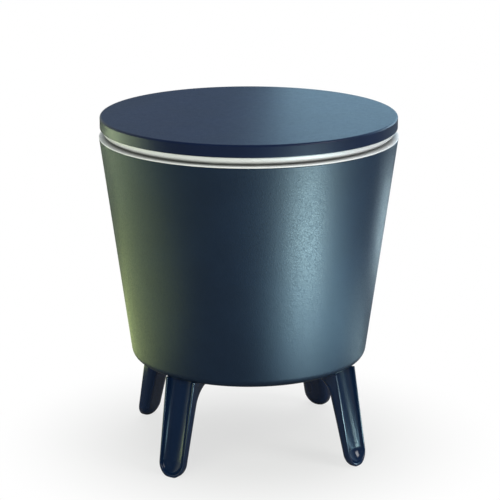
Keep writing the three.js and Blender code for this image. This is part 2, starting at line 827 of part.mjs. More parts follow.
const locknutShape = () => {
  const sides = 6;
  const bore = disc(drain.pipeRadius + fit, nutLow - overrun, nutTop + overrun, facets.tube);
  return cut(disc(drain.nutRadius, nutLow, nutTop, sides), [bore]);
};

function capShape() {
  const outline = [];
  for (let i = 0; i < facets.lobe; i += 1) {
    const angle = (i / facets.lobe) * fullTurn;
    const wave = (1 + Math.cos(drain.capLobes * angle)) / 2;
    const r = drain.capRadius - drain.capLobeDepth * wave;
    outline.push(new THREE.Vector2(r * Math.cos(angle), r * Math.sin(angle)));
  }
  const body = prism(outline, capFloorTop - drain.capFloor, capTop);
  return cut(body, [disc(capBore, capFloorTop, capTop + overrun, facets.tube)]);
}

const gasketShape = () =>
  disc(drain.pipeRadius, gasketTop - drain.gasketThickness, gasketTop, facets.tube);

// Screws point up, with the head's underside at zero

function screwShape({ shank, length, head, rise }) {
  return revolve([
    [0, -rise],
    [head, -rise],
    [head, 0],
    [shank, 0],
    [shank, length],
    [0, length],
  ], facets.screw);
}

// Assembly

function piece(name, shape, look) {
  const mesh = new THREE.Mesh(geometryOf(shape), new THREE.MeshStandardMaterial(look));
  mesh.name = name;
  return mesh;
}

function screwsRound(prefix, size, places) {
  return places.map((place, index) => {
    const screw = piece(`${prefix}_${index + 1}`, screwShape(size), finish.steel);
    screw.position.copy(place);
    return screw;
  });
}

function legGroup(side, angle) {
  const group = new THREE.Group();
  group.add(piece(`leg_${side}`, legShape(), finish.glossNavy));
  const headSeat = tabLow - 2 * fit;
  group.add(...screwsRound(`leg_${side}_screw`, screwSize.leg, legScrewPlaces(headSeat)));
  group.rotation.z = radians(angle);
  return group;
}

function drainGroup() {
  const group = new THREE.Group();
  group.add(
    piece("drain_spout", spoutShape(), finish.white),
    piece("drain_seal", sealShape(), finish.rubber),
    piece("drain_locknut", locknutShape(), finish.white),
    piece("drain_cap", capShape(), finish.white),
    piece("drain_cap_gasket", gasketShape(), finish.rubber),
  );
  group.position.copy(drainPlace);
  return group;
}

function collarScrews() {
  const seat = chimneyTop + fit + collar.flangeThickness + fit;
  const places = anglesRound(collar.screws, 0)
    .map((angle) => polar(collarScrewCircle, angle, seat));
  const screws = screwsRound("collar_screw", screwSize.collar, places);
  for (const screw of screws) screw.rotation.x = fullTurn / 2;
  return screws;
}

function bucketGroup() {
  const group = new THREE.Group();
  group.add(
    piece("outer_bucket", bucketShape(), finish.navy),
    piece("inner_liner", linerShape(), finish.white),
    piece("liner_floor", floorShape(), finish.white),
    piece("guide_tube", guideShape(), finish.acetal),
    piece("guide_collar", collarShape(), finish.white),
    drainGroup(),
    ...collarScrews(),
    ...screwsRound("guide_screw", screwSize.guide, anglesRound(guide.screws, 180 / bucket.ribs)
      .map((angle) => polar(guide.screwCircle, angle, -fit))),
  );
  return group;
}

function topGroup() {
  const group = new THREE.Group();
  const flangeSeat = columnTop - column.flangeThickness - fit;
  group.add(
    piece("tabletop", tabletopShape(), finish.navy),
    piece("lid_tray", trayShape(), finish.white),
    piece("lift_column", columnShape(), finish.white),
    piece("column_end_plug", plugShape(), finish.acetal),
    piece("column_glide", glideShape(), finish.acetal),
    ...screwsRound("tray_screw", screwSize.tray,
      placesRound(trayScrewCircle, trayScrewAngles, trayBottom - fit)),
    ...screwsRound("column_screw", screwSize.column,
      placesRound(column.screwCircle, columnScrewAngles, flangeSeat)),
  );
  return group;
}

const raised = new THREE.Group();
raised.add(bucketGroup(), topGroup());
raised.position.z = leg.height;

const table = new THREE.Group();
table.add(raised);
for (const [side, angle] of Object.entries(legAngles)) table.add(legGroup(side, angle));

console.log(`lift travel ${lift.toFixed(2)} mm`);

export default table;
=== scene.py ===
"""Ice bucket coffee table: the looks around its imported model.

A round top closes a double-walled tub on four splayed legs, rises on a central column and locks
with a twist. Sizes are in millimetres and become metres when a mesh is made. The place of every
piece is in its mesh, in the frame's own axes: Z up, the column on the Z axis, the front at -Y.
"""

import logging
import math
from abc import ABC, abstractmethod
from collections.abc import Callable, Sequence
from dataclasses import dataclass
from enum import Enum

import bmesh
import bpy
from mathutils import Matrix, Vector


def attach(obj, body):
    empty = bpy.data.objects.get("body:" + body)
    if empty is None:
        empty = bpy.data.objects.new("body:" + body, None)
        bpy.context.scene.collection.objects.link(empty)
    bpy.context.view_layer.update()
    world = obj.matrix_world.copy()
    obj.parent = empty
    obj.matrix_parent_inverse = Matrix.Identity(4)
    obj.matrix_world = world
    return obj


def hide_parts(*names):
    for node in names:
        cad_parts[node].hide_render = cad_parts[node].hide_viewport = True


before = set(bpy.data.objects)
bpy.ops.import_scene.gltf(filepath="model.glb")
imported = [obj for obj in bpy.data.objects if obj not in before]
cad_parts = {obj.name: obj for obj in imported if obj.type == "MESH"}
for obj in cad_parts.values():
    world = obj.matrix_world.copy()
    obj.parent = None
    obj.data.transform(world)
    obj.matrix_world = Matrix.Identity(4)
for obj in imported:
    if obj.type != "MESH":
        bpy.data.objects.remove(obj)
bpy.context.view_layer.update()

LOG = logging.getLogger("ice_bucket_table")

MM = 0.001
FIT = 0.3  # gap between pieces that meet
RUNNING = 0.6  # radial gap between pieces that slide or turn
OVER = 2.0  # how far a cutting tool passes the face that it cuts
HAIR = 0.01  # keeps two faces from lying in one plane
FULL_TURN = 2 * math.pi
QUARTER = math.pi / 2
TWO_SIDES = (0, 180)  # angles of the lugs, keys and channels
SHELL_STEPS = 240
TUBE_STEPS = 96
HOLE_STEPS = 24
ARC_STEP = math.radians(11)
NEARLY_STRAIGHT = math.radians(88)  # half the angle of a corner that is left as it is
SIDE_SHARE = 0.49  # the share of a side that one round may take up
SECTOR_STEP = 3.0  # degrees
SHARP_ANGLE = math.radians(38)
MERGE = 1e-6

Pair = tuple[float, float]
Triple = tuple[float, float, float]
Profile = list[Pair]
Colour = tuple[float, float, float, float]
Radial = Callable[[float, float], float]


class Body(Enum):
    """The bodies that pieces ride on."""

    BUCKET = "bucket"
    GLIDE = "column_glide"
    TOP = "top"
    GASKET = "drain_gasket"
    CAP = "drain_cap"


class Slot(Enum):
    """The record's material slots."""

    BODY = "body_navy"
    LEG = "leg_navy"
    WHITE = "white_plastic"
    DRAIN = "drain_white"
    ACETAL = "acetal"
    STEEL = "screw_steel"
    RUBBER = "seal_rubber"


class Join(Enum):
    """How one solid is combined with another."""

    UNION = "UNION"
    CUT = "DIFFERENCE"


# Node trees


def operator(operation: str, swapped: bool = False) -> "Callable[[Signal, Value], Signal]":
    """Makes the method of Signal that stands for one operation.

    Args:
        operation: the name that the maths nodes give it.
        swapped: whether the other value comes first, as in 1 - mask.

    Returns:
        The method.
    """

    def method(self: "Signal", other: "Value") -> "Signal":
        """Adds the operation's node."""
        return self.combined(operation, other, swapped)

    return method


class Signal:
    """A node's output that takes part in arithmetic."""

    def __init__(self, sheet: "NodeSheet", socket: bpy.types.NodeSocket) -> None:
        """Wraps an output socket of the sheet that new nodes go into."""
        self.sheet = sheet
        self.socket = socket

    def combined(self, operation: str, other: "Value", swapped: bool) -> "Signal":
        """Adds the node for one operation: a Mix node for colours, or one of the maths nodes.

        Args:
            operation: what the node does.
            other: the second value, which comes first where swapped is true.
            swapped: whether the order is turned round.

        Returns:
            The result.
        """
        pair = (other, self) if swapped else (self, other)
        kind = self.socket.type
        if kind == "RGBA":
            settings = {"data_type": "RGBA", "blend_type": operation, "clamp_result": False}
            return self.sheet.signal("ShaderNodeMix", settings, {0: 1.0, 6: pair[0], 7: pair[1]}, 2)
        maths = "ShaderNodeVectorMath" if kind == "VECTOR" else "ShaderNodeMath"
        return self.sheet.signal(maths, {"operation": operation}, {0: pair[0], 1: pair[1]})

    __add__, __radd__ = operator("ADD"), operator("ADD", True)
    __sub__, __rsub__ = operator("SUBTRACT"), operator("SUBTRACT", True)
    __mul__, __rmul__ = operator("MULTIPLY"), operator("MULTIPLY", True)
    __truediv__, __rtruediv__ = operator("DIVIDE"), operator("DIVIDE", True)
    peak = operator("MAXIMUM")

    def ramp(self, low: float, high: float, to_low: float = 0.0, to_high: float = 1.0) -> "Signal":
        """Maps a range smoothly onto another, clamped.

        Args:
            low: the value that gives to_low.
            high: the value that gives to_high.
            to_low: the result at low.
            to_high: the result at high.

        Returns:
            The mapped value.
        """
        settings = {"interpolation_type": "SMOOTHSTEP"}
        inputs = {0: self, 1: low, 2: high, 3: to_low, 4: to_high}
        return self.sheet.signal("ShaderNodeMapRange", settings, inputs)


Value = Signal | float | int | tuple | str | bpy.types.ID | bpy.types.NodeSocket | None


class NodeSheet:
    """Adds nodes to a tree: the settings first, then the values or links of the sockets."""

    def __init__(self, tree: bpy.types.NodeTree) -> None:
        """Keeps the tree that nodes go into."""
        self.tree = tree

    def node(self, kind: str, settings: dict[str, object] | None = None,
             inputs: dict[int | str, Value] | None = None) -> bpy.types.Node:
        """Adds a node.

        Args:
            kind: the node's type.
            settings: its properties.
            inputs: values or links by the socket's name or place.

        Returns:
            The node.
        """
        made = self.tree.nodes.new(kind)
        for name, value in (settings or {}).items():
            setattr(made, name, value)
        for name, value in (inputs or {}).items():
            socket = made.inputs[name]
            if isinstance(value, Signal):
                self.tree.links.new(value.socket, socket)
            elif isinstance(value, bpy.types.NodeSocket):
                self.tree.links.new(value, socket)
            else:
                socket.default_value = value
        return made

    def signal(self, kind: str, settings: dict[str, object] | None = None,
               inputs: dict[int | str, Value] | None = None, output: int | str = 0) -> Signal:
        """Adds a node and gives one of its outputs, with the same arguments as node()."""
        return Signal(self, self.node(kind, settings, inputs).outputs[output])


class GeometrySheet(NodeSheet):
    """A geometry node tree with named inputs, which ends in Realize Instances and Set Material."""

    def __init__(self, name: str) -> None:
        """Starts a tree that takes a geometry and a material and gives a geometry.

        Args:
            name: the tree's name.
        """
        super().__init__(bpy.data.node_groups.new(name, "GeometryNodeTree"))
        self.sockets: dict[str, str] = {}
        for way in ("OUTPUT", "INPUT"):
            self.tree.interface.new_socket("Geometry", in_out=way,
                                           socket_type="NodeSocketGeometry")
        self.entry = self.node("NodeGroupInput")
        self.value("Material", "NodeSocketMaterial")

    def value(self, name: str, kind: str = "NodeSocketFloat") -> Signal:
        """Adds a named input.

        Args:
            name: what the input is called.
            kind: its socket type.

        Returns:
            The input inside the tree.
        """
        item = self.tree.interface.new_socket(name, in_out="INPUT", socket_type=kind)
        self.sockets[name] = item.identifier
        return Signal(self, self.entry.outputs[name])

    def close(self, shape: Value) -> None:
        """Realizes the instances, gives them the material and ends the tree.

        Args:
            shape: the geometry that the tree has made.
        """
        real = self.signal("GeometryNodeRealizeInstances", inputs={"Geometry": shape})
        done = self.signal("GeometryNodeSetMaterial", inputs={
            "Geometry": real, "Material": self.entry.outputs["Material"]})
        self.node("NodeGroupOutput", inputs={"Geometry": done})

    def run(self, seed: bpy.types.Mesh, material: bpy.types.Material,
            values: dict[str, float | int]) -> bpy.types.Mesh:
        """Evaluates the tree on a mesh.

        Args:
            seed: the mesh that goes in.
            material: the finish of the result.
            values: the named inputs.

        Returns:
            The result as a plain mesh.
        """
        holder = linked("holder", seed)
        modifier = holder.modifiers.new("tree", "NODES")
        modifier.node_group = self.tree
        for name, value in {**values, "Material": material}.items():
            modifier[self.sockets[name]] = value
        return plain_mesh(holder)


def linked(name: str, data: bpy.types.ID) -> bpy.types.Object:
    """Makes an object and links it to the scene.

    Args:
        name: what it is called.
        data: its mesh, light or camera.

    Returns:
        The object.
    """
    made = bpy.data.objects.new(name, data)
    bpy.context.scene.collection.objects.link(made)
    return made


def plain_mesh(holder: bpy.types.Object) -> bpy.types.Mesh:
    """Turns an object with modifiers into a mesh of its own.

    Args:
        holder: the object, which is removed.

    Returns:
        The mesh.
    """
    graph = bpy.context.evaluated_depsgraph_get()
    graph.update()
    mesh = bpy.data.meshes.new_from_object(holder.evaluated_get(graph), depsgraph=graph)
    bpy.data.objects.remove(holder)
    return mesh


# Outlines and solids


@dataclass(frozen=True)
class Corner:
    """A corner of an outline: its radius, its height and how much it is rounded."""

    r: float
    z: float
    round: float = 0.0


def rounded(corners: Sequence[Corner | Pair]) -> Profile:
    """Rounds the corners of a closed outline.

    Args:
        corners: corners in order; a bare pair stays as it is.

    Returns:
        The outline's points.
    """
    items = [c if isinstance(c, Corner) else Corner(*c) for c in corners]
    points: Profile = []
    for index, corner in enumerate(items):
        here = Vector((corner.r, corner.z))
        before = items[index - 1]
        after = items[(index + 1) % len(items)]
        back = Vector((before.r, before.z)) - here
        ahead = Vector((after.r, after.z)) - here
        half = back.angle(ahead) / 2 if corner.round else 0
        if not corner.round or half > NEARLY_STRAIGHT:
            points.append((corner.r, corner.z))
            continue
        reach = min(corner.round / math.tan(half), SIDE_SHARE * back.length,
                    SIDE_SHARE * ahead.length)
        radius = reach * math.tan(half)
        middle = here + (back.normalized() + ahead.normalized()).normalized() * radius / math.sin(half)
        start = here + back.normalized() * reach - middle
        end = here + ahead.normalized() * reach - middle
        sweep = math.pi - 2 * half
        steps = max(3, math.ceil(sweep / ARC_STEP))
        for k in range(steps + 1):
            share = k / steps
            spot = middle + (start * math.sin((1 - share) * sweep)
                             + end * math.sin(share * sweep)) / math.sin(sweep)
            points.append((spot.x, spot.y))
    return points


def signed_area(points: Sequence[Pair]) -> float:
    """The area inside a closed outline, positive where it runs anticlockwise."""
    return sum(a[0] * b[1] - b[0] * a[1] for a, b in zip(points, [*points[1:], points[0]])) / 2


def mesh_of(points: Sequence[Sequence[float]], faces: Sequence[Sequence[int]]) -> bpy.types.Mesh:
    """Makes a mesh in metres.

    Args:
        points: its points in millimetres.
        faces: the points' places in each face.

    Returns:
        The mesh.
    """
    mesh = bpy.data.meshes.new("part")
    mesh.from_pydata([[c * MM for c in p] for p in points], [], faces)
    mesh.update()
    return mesh


class Solid:
    """A closed mesh that others are joined to or cut from."""

    def __init__(self, mesh: bpy.types.Mesh) -> None:
        """Keeps the mesh."""
        self.mesh = mesh

    @classmethod
    def turned(cls, profile: Sequence[Corner | Pair], steps: int,
               radial: Radial | None = None) -> "Solid":
        """Turns a closed outline about the Z axis.

        Args:
            profile: corners of radius and height.
            steps: steps in a full turn.
            radial: gives the radius from the outline's radius and the angle.

        Returns:
            The solid.
        """
        points = rounded(profile)
        if signed_area(points) < 0:
            points.reverse()
        spots: list[Triple] = []
        rings: list[list[int]] = []
        for r, z in points:
            first = len(spots)
            if r == 0:
                spots.append((0.0, 0.0, z))
                rings.append([first] * steps)
                continue
            for j in range(steps):
                angle = FULL_TURN * j / steps
                reach = radial(r, angle) if radial else r
                spots.append((reach * math.cos(angle), reach * math.sin(angle), z))
            rings.append(list(range(first, first + steps)))
        faces = []
        for low, high in zip(rings, [*rings[1:], rings[0]]):
            for j in range(steps):
                k = (j + 1) % steps
                face = list(dict.fromkeys((low[j], low[k], high[k], high[j])))
                if len(face) > 2:
                    faces.append(face)
        return cls(mesh_of(spots, faces))

    @classmethod
    def prism(cls, outline: Sequence[Pair], low: float, high: float) -> "Solid":
        """Raises an outline in the XY plane.

        Args:
            outline: X and Y of its points, in either sense.
            low: the height that it starts at.
            high: the height that it ends at.

        Returns:
            The solid.
        """
        points = list(outline)
        if signed_area(points) < 0:
            points.reverse()
        count = len(points)
        spots = [(x, y, z) for z in (low, high) for x, y in points]
        faces = [list(range(count - 1, -1, -1)), list(range(count, 2 * count))]
        faces += [[i, (i + 1) % count, (i + 1) % count + count, i + count] for i in range(count)]
        return cls(mesh_of(spots, faces))

    @classmethod
    def hoop(cls, inner: float, outer: float, low: float, high: float, inner_round: float = 0.0,
             outer_round: float = 0.0) -> "Solid":
        """A ring of rectangular section, whose inner and outer edges may be rounded."""
        return cls.turned([
            Corner(inner, low, inner_round), Corner(outer, low, outer_round),
            Corner(outer, high, outer_round), Corner(inner, high, inner_round)], TUBE_STEPS)

    @classmethod
    def plate(cls, outline: Sequence[Pair], thickness: float) -> "Solid":
        """Makes an upright plate, centred on the XZ plane.

        Args:
            outline: X and Z of its points.
            thickness: its size along Y.

        Returns:
            The plate.
        """
        solid = cls.prism(outline, -thickness / 2, thickness / 2)
        solid.mesh.transform(Matrix.Rotation(QUARTER, 4, "X"))
        return solid

    @classmethod
    def disc(cls, radius: float, low: float, high: float, steps: int = HOLE_STEPS) -> "Solid":
        """A round bar on the Z axis."""
        return cls.turned([(0, low), (radius, low), (radius, high), (0, high)], steps)

    @classmethod
    def sector(cls, inner: float, outer: float, start: float, end: float, low: float,
               high: float) -> "Solid":
        """A piece of a ring.

        Args:
            inner: its inner radius.
            outer: its outer radius.
            start: the angle in degrees that it starts at.
            end: the angle in degrees that it ends at.
            low: its lower height.
            high: its upper height.

        Returns:
            The solid.
        """
        steps = max(2, round((end - start) / SECTOR_STEP))
        angles = [math.radians(start + (end - start) * k / steps) for k in range(steps + 1)]
        outline = [(outer * math.cos(a), outer * math.sin(a)) for a in angles]
        outline += [(inner * math.cos(a), inner * math.sin(a)) for a in reversed(angles)]
        return cls.prism(outline, low, high)

    def placed(self, degrees: float = 0.0, x: float = 0.0, y: float = 0.0) -> "Solid":
        """Copies the solid, moves the copy and then turns it about the Z axis.

        Args:
            degrees: how far it is turned.
            x: the move along X in millimetres.
            y: the move along Y.

        Returns:
            The copy.
        """
        mesh = self.mesh.copy()
        mesh.transform(Matrix.Rotation(math.radians(degrees), 4, "Z")
                       @ Matrix.Translation((x * MM, y * MM, 0.0)))
        return Solid(mesh)

    def at(self, places: Sequence[Pair]) -> list["Solid"]:
        """A copy at each place in the XY plane."""
        return [self.placed(x=x, y=y) for x, y in places]

    def combined(self, join: Join, others: Sequence["Solid"]) -> "Solid":
        """Joins other solids to this one or cuts them from it.

        Args:
            join: union or cut.
            others: the other solids.

        Returns:
            The result.
        """
        holder = linked("holder", self.mesh)
        tools = [linked("tool", other.mesh) for other in others]
        for tool in tools:
            modifier = holder.modifiers.new(join.name, "BOOLEAN")
            modifier.operation = join.value
            modifier.solver = "MANIFOLD"
            modifier.object = tool
        mesh = plain_mesh(holder)
        for tool in tools:
            bpy.data.objects.remove(tool)
        return Solid(mesh)

    def with_parts(self, *others: "Solid") -> "Solid":
        """This solid with others joined to it."""
        return self.combined(Join.UNION, others)

    def without(self, *others: "Solid") -> "Solid":
        """This solid with others cut from it."""
        return self.combined(Join.CUT, others)


def polar(radius: float, degrees: float) -> Pair:
    """X and Y of a radius and an angle."""
    return radius * math.cos(math.radians(degrees)), radius * math.sin(math.radians(degrees))


def turned_place(spot: Pair, degrees: float) -> Pair:
    """Turns a place about the Z axis.

    Args:
        spot: its X and Y.
        degrees: how far it is turned.

    Returns:
        Its new X and Y.
    """
    x, y = spot
    across, up = polar(1.0, degrees)
    return x * across - y * up, x * up + y * across


def places_round(radius: float, count: int, start: float = 0.0) -> tuple[Pair, ...]:
    """X and Y of places spaced equally on a circle."""
    return tuple(polar(radius, start + 360 * i / count) for i in range(count))


# Finishes


def linear(code: int) -> Colour:
    """Turns a screen colour into the linear colour that shaders take.

    Args:
        code: the colour, such as 0x1F2F40.

    Returns:
        Red, green, blue and alpha.
    """
    parts = [((code >> shift) & 0xFF) / 255 for shift in (16, 8, 0)]
    bent = [c / 12.92 if c <= 0.04045 else ((c + 0.055) / 1.055) ** 2.4 for c in parts]
    return (*bent, 1.0)


TINT_SIZE = 70.0  # millimetres between changes of tint
RUB_SIZE = 9.0  # millimetres between rubbed patches
TINT_RANGE = (0.3, 0.7)
WEAR_AND_SHEEN_RANGE = (0.35, 0.7)
GAP_RANGE = (0.2, 0.8)  # shares of open sky between which the painted shade fades
EDGE_RANGE = (0.995, 0.93)  # cosines of the turn of the normal between a flat and an edge
GRAIN_LEVEL = 0.7  # the relief's usual height
PEBBLES, FINE_GRAIN = 0.6, 0.8  # the two parts of the relief
FINE_SHARE = 0.5  # the size of the fine part's features as a share of the pebbles'
COAT_ROUGHNESS = 0.12


@dataclass(frozen=True)
class Finish(ABC):
    """What every finish has: a name, a slot, its colours and the grain that the mould gives."""

    name: str
    slot: Slot
    colour: int
    worn_and_sheen: int  # what edges wear to, and the painted sheen that lightens them
    roughness: float
    roughness_spread: float = 0.06
    speckle: float = 0.0  # how much the grain itself changes the roughness
    grain: float = 1.1  # millimetres between the grain's bumps
    grain_depth: float = 0.05  # millimetres
    mottle: float = 0.05  # share by which the colour wanders
    edge_wear_and_sheen: float = 0.35
    edge_width: float = 0.7  # millimetres
    gap_painted_shade: float = 0.25  # share by which painted shade darkens tight gaps
    gap_reach: float = 8.0  # millimetres
    gap_samples: int = 4

    def material(self) -> bpy.types.Material:
        """Builds the material, once.

        Returns:
            The material with this finish's name.
        """
        made = bpy.data.materials.get(self.name)
        if made:
            return made
        made = bpy.data.materials.new(self.name)
        made.use_nodes = True
        sheet = NodeSheet(made.node_tree)
        shader = made.node_tree.nodes["Principled BSDF"]
        spot = sheet.signal("ShaderNodeTexCoord", output="Object")
        tint = self.noise(sheet, spot, TINT_SIZE, detail=3.0).ramp(*TINT_RANGE)
        rub = self.noise(sheet, spot, RUB_SIZE, detail=5.0, roughness=0.65)
        plain = linear(self.colour)[:3]
        light = tuple(min(1.0, c * (1 + self.mottle)) for c in plain) + (1.0,)
        dark = tuple(c * (1 - self.mottle) for c in plain) + (1.0,)
        base = self.mixed(sheet, tint, dark, light)
        # edges lighten towards the worn colour: partly real wear, partly a painted sheen on rounded
        # edges
        wear_and_sheen = self.edges(sheet) * rub.ramp(*WEAR_AND_SHEEN_RANGE) * self.edge_wear_and_sheen
        base = self.mixed(sheet, wear_and_sheen, base, linear(self.worn_and_sheen))
        # painted shade: ambient occlusion darkens the base colour in tight gaps and under overhangs
        open_share = sheet.signal("ShaderNodeAmbientOcclusion", {"samples": self.gap_samples}, {
            "Distance": self.gap_reach * MM}, "AO")
        base = base * open_share.ramp(*GAP_RANGE, 1 - self.gap_painted_shade, 1.0)
        height = self.relief(sheet, spot)
        gloss = (rub - 0.5) * (2 * self.roughness_spread) + self.roughness
        gloss = gloss + (height - GRAIN_LEVEL) * self.speckle
        bump = sheet.signal("ShaderNodeBump", inputs={
            "Strength": 1.0, "Distance": self.grain_depth * MM, "Height": height})
        for name, value in {"Base Color": base, "Roughness": gloss, "Normal": bump}.items():
            sheet.tree.links.new(value.socket, shader.inputs[name])
        self.settle(shader)
        return made

    @staticmethod
    def noise(sheet: NodeSheet, spot: Signal, size: float, detail: float = 2.0,
              roughness: float = 0.5) -> Signal:
        """Noise whose features are about a size in millimetres."""
        return sheet.signal("ShaderNodeTexNoise", inputs={
            "Vector": spot, "Scale": 1 / (size * MM), "Detail": detail, "Roughness": roughness})

    @staticmethod
    def mixed(sheet: NodeSheet, share: Value, first: Value, second: Value) -> Signal:
        """A colour between two others."""
        return sheet.signal("ShaderNodeMix", {"data_type": "RGBA"},
                            {0: share, 6: first, 7: second}, 2)

    def edges(self, sheet: NodeSheet) -> Signal:
        """Finds the edges from how far a bevel turns the normal.

        Args:
            sheet: the material's tree.

        Returns:
            One on edges and zero on flats.
        """
        bevel = sheet.signal("ShaderNodeBevel", {"samples": 4}, {"Radius": self.edge_width * MM})
        flat = sheet.signal("ShaderNodeNewGeometry", output="Normal")
        along = sheet.signal("ShaderNodeVectorMath", {"operation": "DOT_PRODUCT"},
                             {0: bevel, 1: flat}, "Value")
        return along.ramp(*EDGE_RANGE)

    def relief(self, sheet: NodeSheet, spot: Signal) -> Signal:
        """Makes the grain from a pebbled and a fine part.

        Args:
            sheet: the material's tree.
            spot: the place on the object.

        Returns:
            The grain's height.
        """
        pebbles = sheet.signal("ShaderNodeTexVoronoi", {"feature": "SMOOTH_F1"}, {
            "Vector": spot, "Scale": 1 / (self.grain * MM), "Smoothness": 0.6})
        return pebbles * PEBBLES + self.noise(sheet, spot, FINE_SHARE * self.grain) * FINE_GRAIN

    @abstractmethod
    def settle(self, shader: bpy.types.Node) -> None:
        """Sets what is the same all over the surface."""


@dataclass(frozen=True)
class Plastic(Finish):
    """A moulded plastic."""

    index: float = 1.46
    specular: float = 0.5
    coat: float = 0.0

    def settle(self, shader: bpy.types.Node) -> None:
        """Sets the index, the specular level and a clear skin where the plastic is polished.

        Args:
            shader: the material's shader.
        """
        shader.inputs["IOR"].default_value = self.index
        shader.inputs["Specular IOR Level"].default_value = self.specular
        shader.inputs["Coat Weight"].default_value = self.coat
        shader.inputs["Coat Roughness"].default_value = COAT_ROUGHNESS


@dataclass(frozen=True)
class Steel(Finish):
    """A turned and tumbled steel."""

    def settle(self, shader: bpy.types.Node) -> None:
        """Makes the surface a metal."""
        shader.inputs["Metallic"].default_value = 1.0


@dataclass(frozen=True)
class Rubber(Finish):
    """A soft black rubber with a dull skin."""

    def settle(self, shader: bpy.types.Node) -> None:
        """Takes the gloss down and adds a faint bloom.

        Args:
            shader: the material's shader.
        """
        shader.inputs["Specular IOR Level"].default_value = 0.3
        shader.inputs["Sheen Weight"].default_value = 0.1
        shader.inputs["Sheen Roughness"].default_value = 0.5


# the pale worn colours of the navy plastics give their edges a painted sheen as well as wear
SATIN_NAVY = Plastic("satin_navy", Slot.BODY, 0x11233A, 0x465B70, 0.44, 0.05, speckle=0.3,
                     grain=2.4, grain_depth=0.11, mottle=0.06, specular=0.3)
TOP_NAVY = Plastic("top_navy", Slot.BODY, 0x0C1A38, 0x485D76, 0.38, speckle=0.15, grain=1.9,
                   grain_depth=0.05, mottle=0.09, specular=0.28)
GLOSS_NAVY = Plastic("gloss_navy", Slot.LEG, 0x0F2341, 0x30455F, 0.19, 0.015, grain=2.2,
                     grain_depth=0.004, specular=0.5, coat=0.4)
# the white plastic carries strong painted shade in the gap between the tray and the liner's rim
WHITE_PLASTIC = Plastic("white_resin", Slot.WHITE, 0xEFF1F2, 0xF2F2F2, 0.42, grain=1.8,
                        grain_depth=0.015, mottle=0.015, edge_wear_and_sheen=0.2, gap_painted_shade=0.66,
                        gap_reach=13.0, gap_samples=8, specular=0.35)
DRAIN_WHITE = Plastic("drain_resin", Slot.DRAIN, 0xDCDDDC, 0xEDEDEC, 0.42, grain=1.2,
                      grain_depth=0.02, mottle=0.02, edge_wear_and_sheen=0.25)
ACETAL = Plastic("acetal_resin", Slot.ACETAL, 0xDADBD8, 0xE9E9E6, 0.33, grain=2.4,
                 grain_depth=0.01, mottle=0.02, edge_wear_and_sheen=0.3)
SCREW_STEEL = Steel("tumbled_steel", Slot.STEEL, 0xB9BCBF, 0xD7D9DB, 0.3, 0.1, grain=0.4,
                    grain_depth=0.01, mottle=0.06)
SEAL_RUBBER = Rubber("black_rubber", Slot.RUBBER, 0x202124, 0x35363A, 0.72, grain=0.6,
                     grain_depth=0.02, mottle=0.1)


# Pieces


@dataclass
class Piece:
    """A finished mesh with the body that it rides on, its finish and the nodes it stands for."""

    name: str
    mesh: bpy.types.Mesh
    body: Body
    finish: Finish
    stands_for: tuple[str, ...]

    def place(self) -> bpy.types.Object:
        """Makes the object, dresses it and tells the frame about it.

        Returns:
            The object.
        """
        self.mesh.name = self.name
        self.mesh.materials.clear()
        self.mesh.materials.append(self.finish.material())
        self.mesh.shade_smooth()
        self.mesh.set_sharp_from_angle(angle=SHARP_ANGLE)
        made = linked(self.name, self.mesh)
        weighted = made.modifiers.new("even_shading", "WEIGHTED_NORMAL")
        weighted.keep_sharp = True
        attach(made, self.body.value)
        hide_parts(*self.stands_for)
        return made


class Assembly(ABC):
    """A sub-assembly that makes its meshes and dresses them."""

    @abstractmethod
    def build(self) -> list[Piece]:
        """Makes the pieces."""


@dataclass(frozen=True)
class Datum:
    """The sizes that neighbouring sub-assemblies share; heights are above the floor."""

    underside: float = 157.5
    rim: float = 536.4
    rim_radius: float = 249.0
    taper: float = math.radians(7.7)
    base_round: float = 17.0
    flange_top: float = 538.4
    mouth_radius: float = 230.0
    floor_top: float = 207.2
    liner_base: float = 204.2
    chimney_top: float = 497.1
    column_radius: float = 30.0
    drain_y: float = 105.0

    def side(self, z: float, inwards: float = 0.0) -> float:
        """The bucket's radius at a height, moved inwards square to its side."""
        spread = (self.rim - z) * math.tan(self.taper)
        return self.rim_radius - spread - inwards / math.cos(self.taper)

    def base_centre(self) -> float:
        """The radius at which the flat underside ends and the base round starts."""
        return self.side(self.underside + self.base_round, self.base_round)


DATUM = Datum()
LEG_ANGLES = {"front_right": -45.0, "back_right": 45.0, "back_left": 135.0, "front_left": -135.0}


@dataclass(frozen=True)
class ScrewSet:
    """Equal screws: their sizes, their body, where they are and the nodes they stand for."""

    name: str
    body: Body
    shank: float
    length: float
    head: float
    rise: float
    seat: float  # the height of the face under their heads
    places: tuple[Pair, ...]
    nodes: tuple[str, ...]
    heads_up: bool = False

    def holes(self, low: float, high: float) -> list[Solid]:
        """Tools for the screws' holes between two heights."""
        return Solid.disc(self.shank + FIT, low, high).at(self.places)


def numbered(stem: str, count: int) -> tuple[str, ...]:
    """Names that end in 1, 2 and so on."""
    return tuple(f"{stem}_{i}" for i in range(1, count + 1))


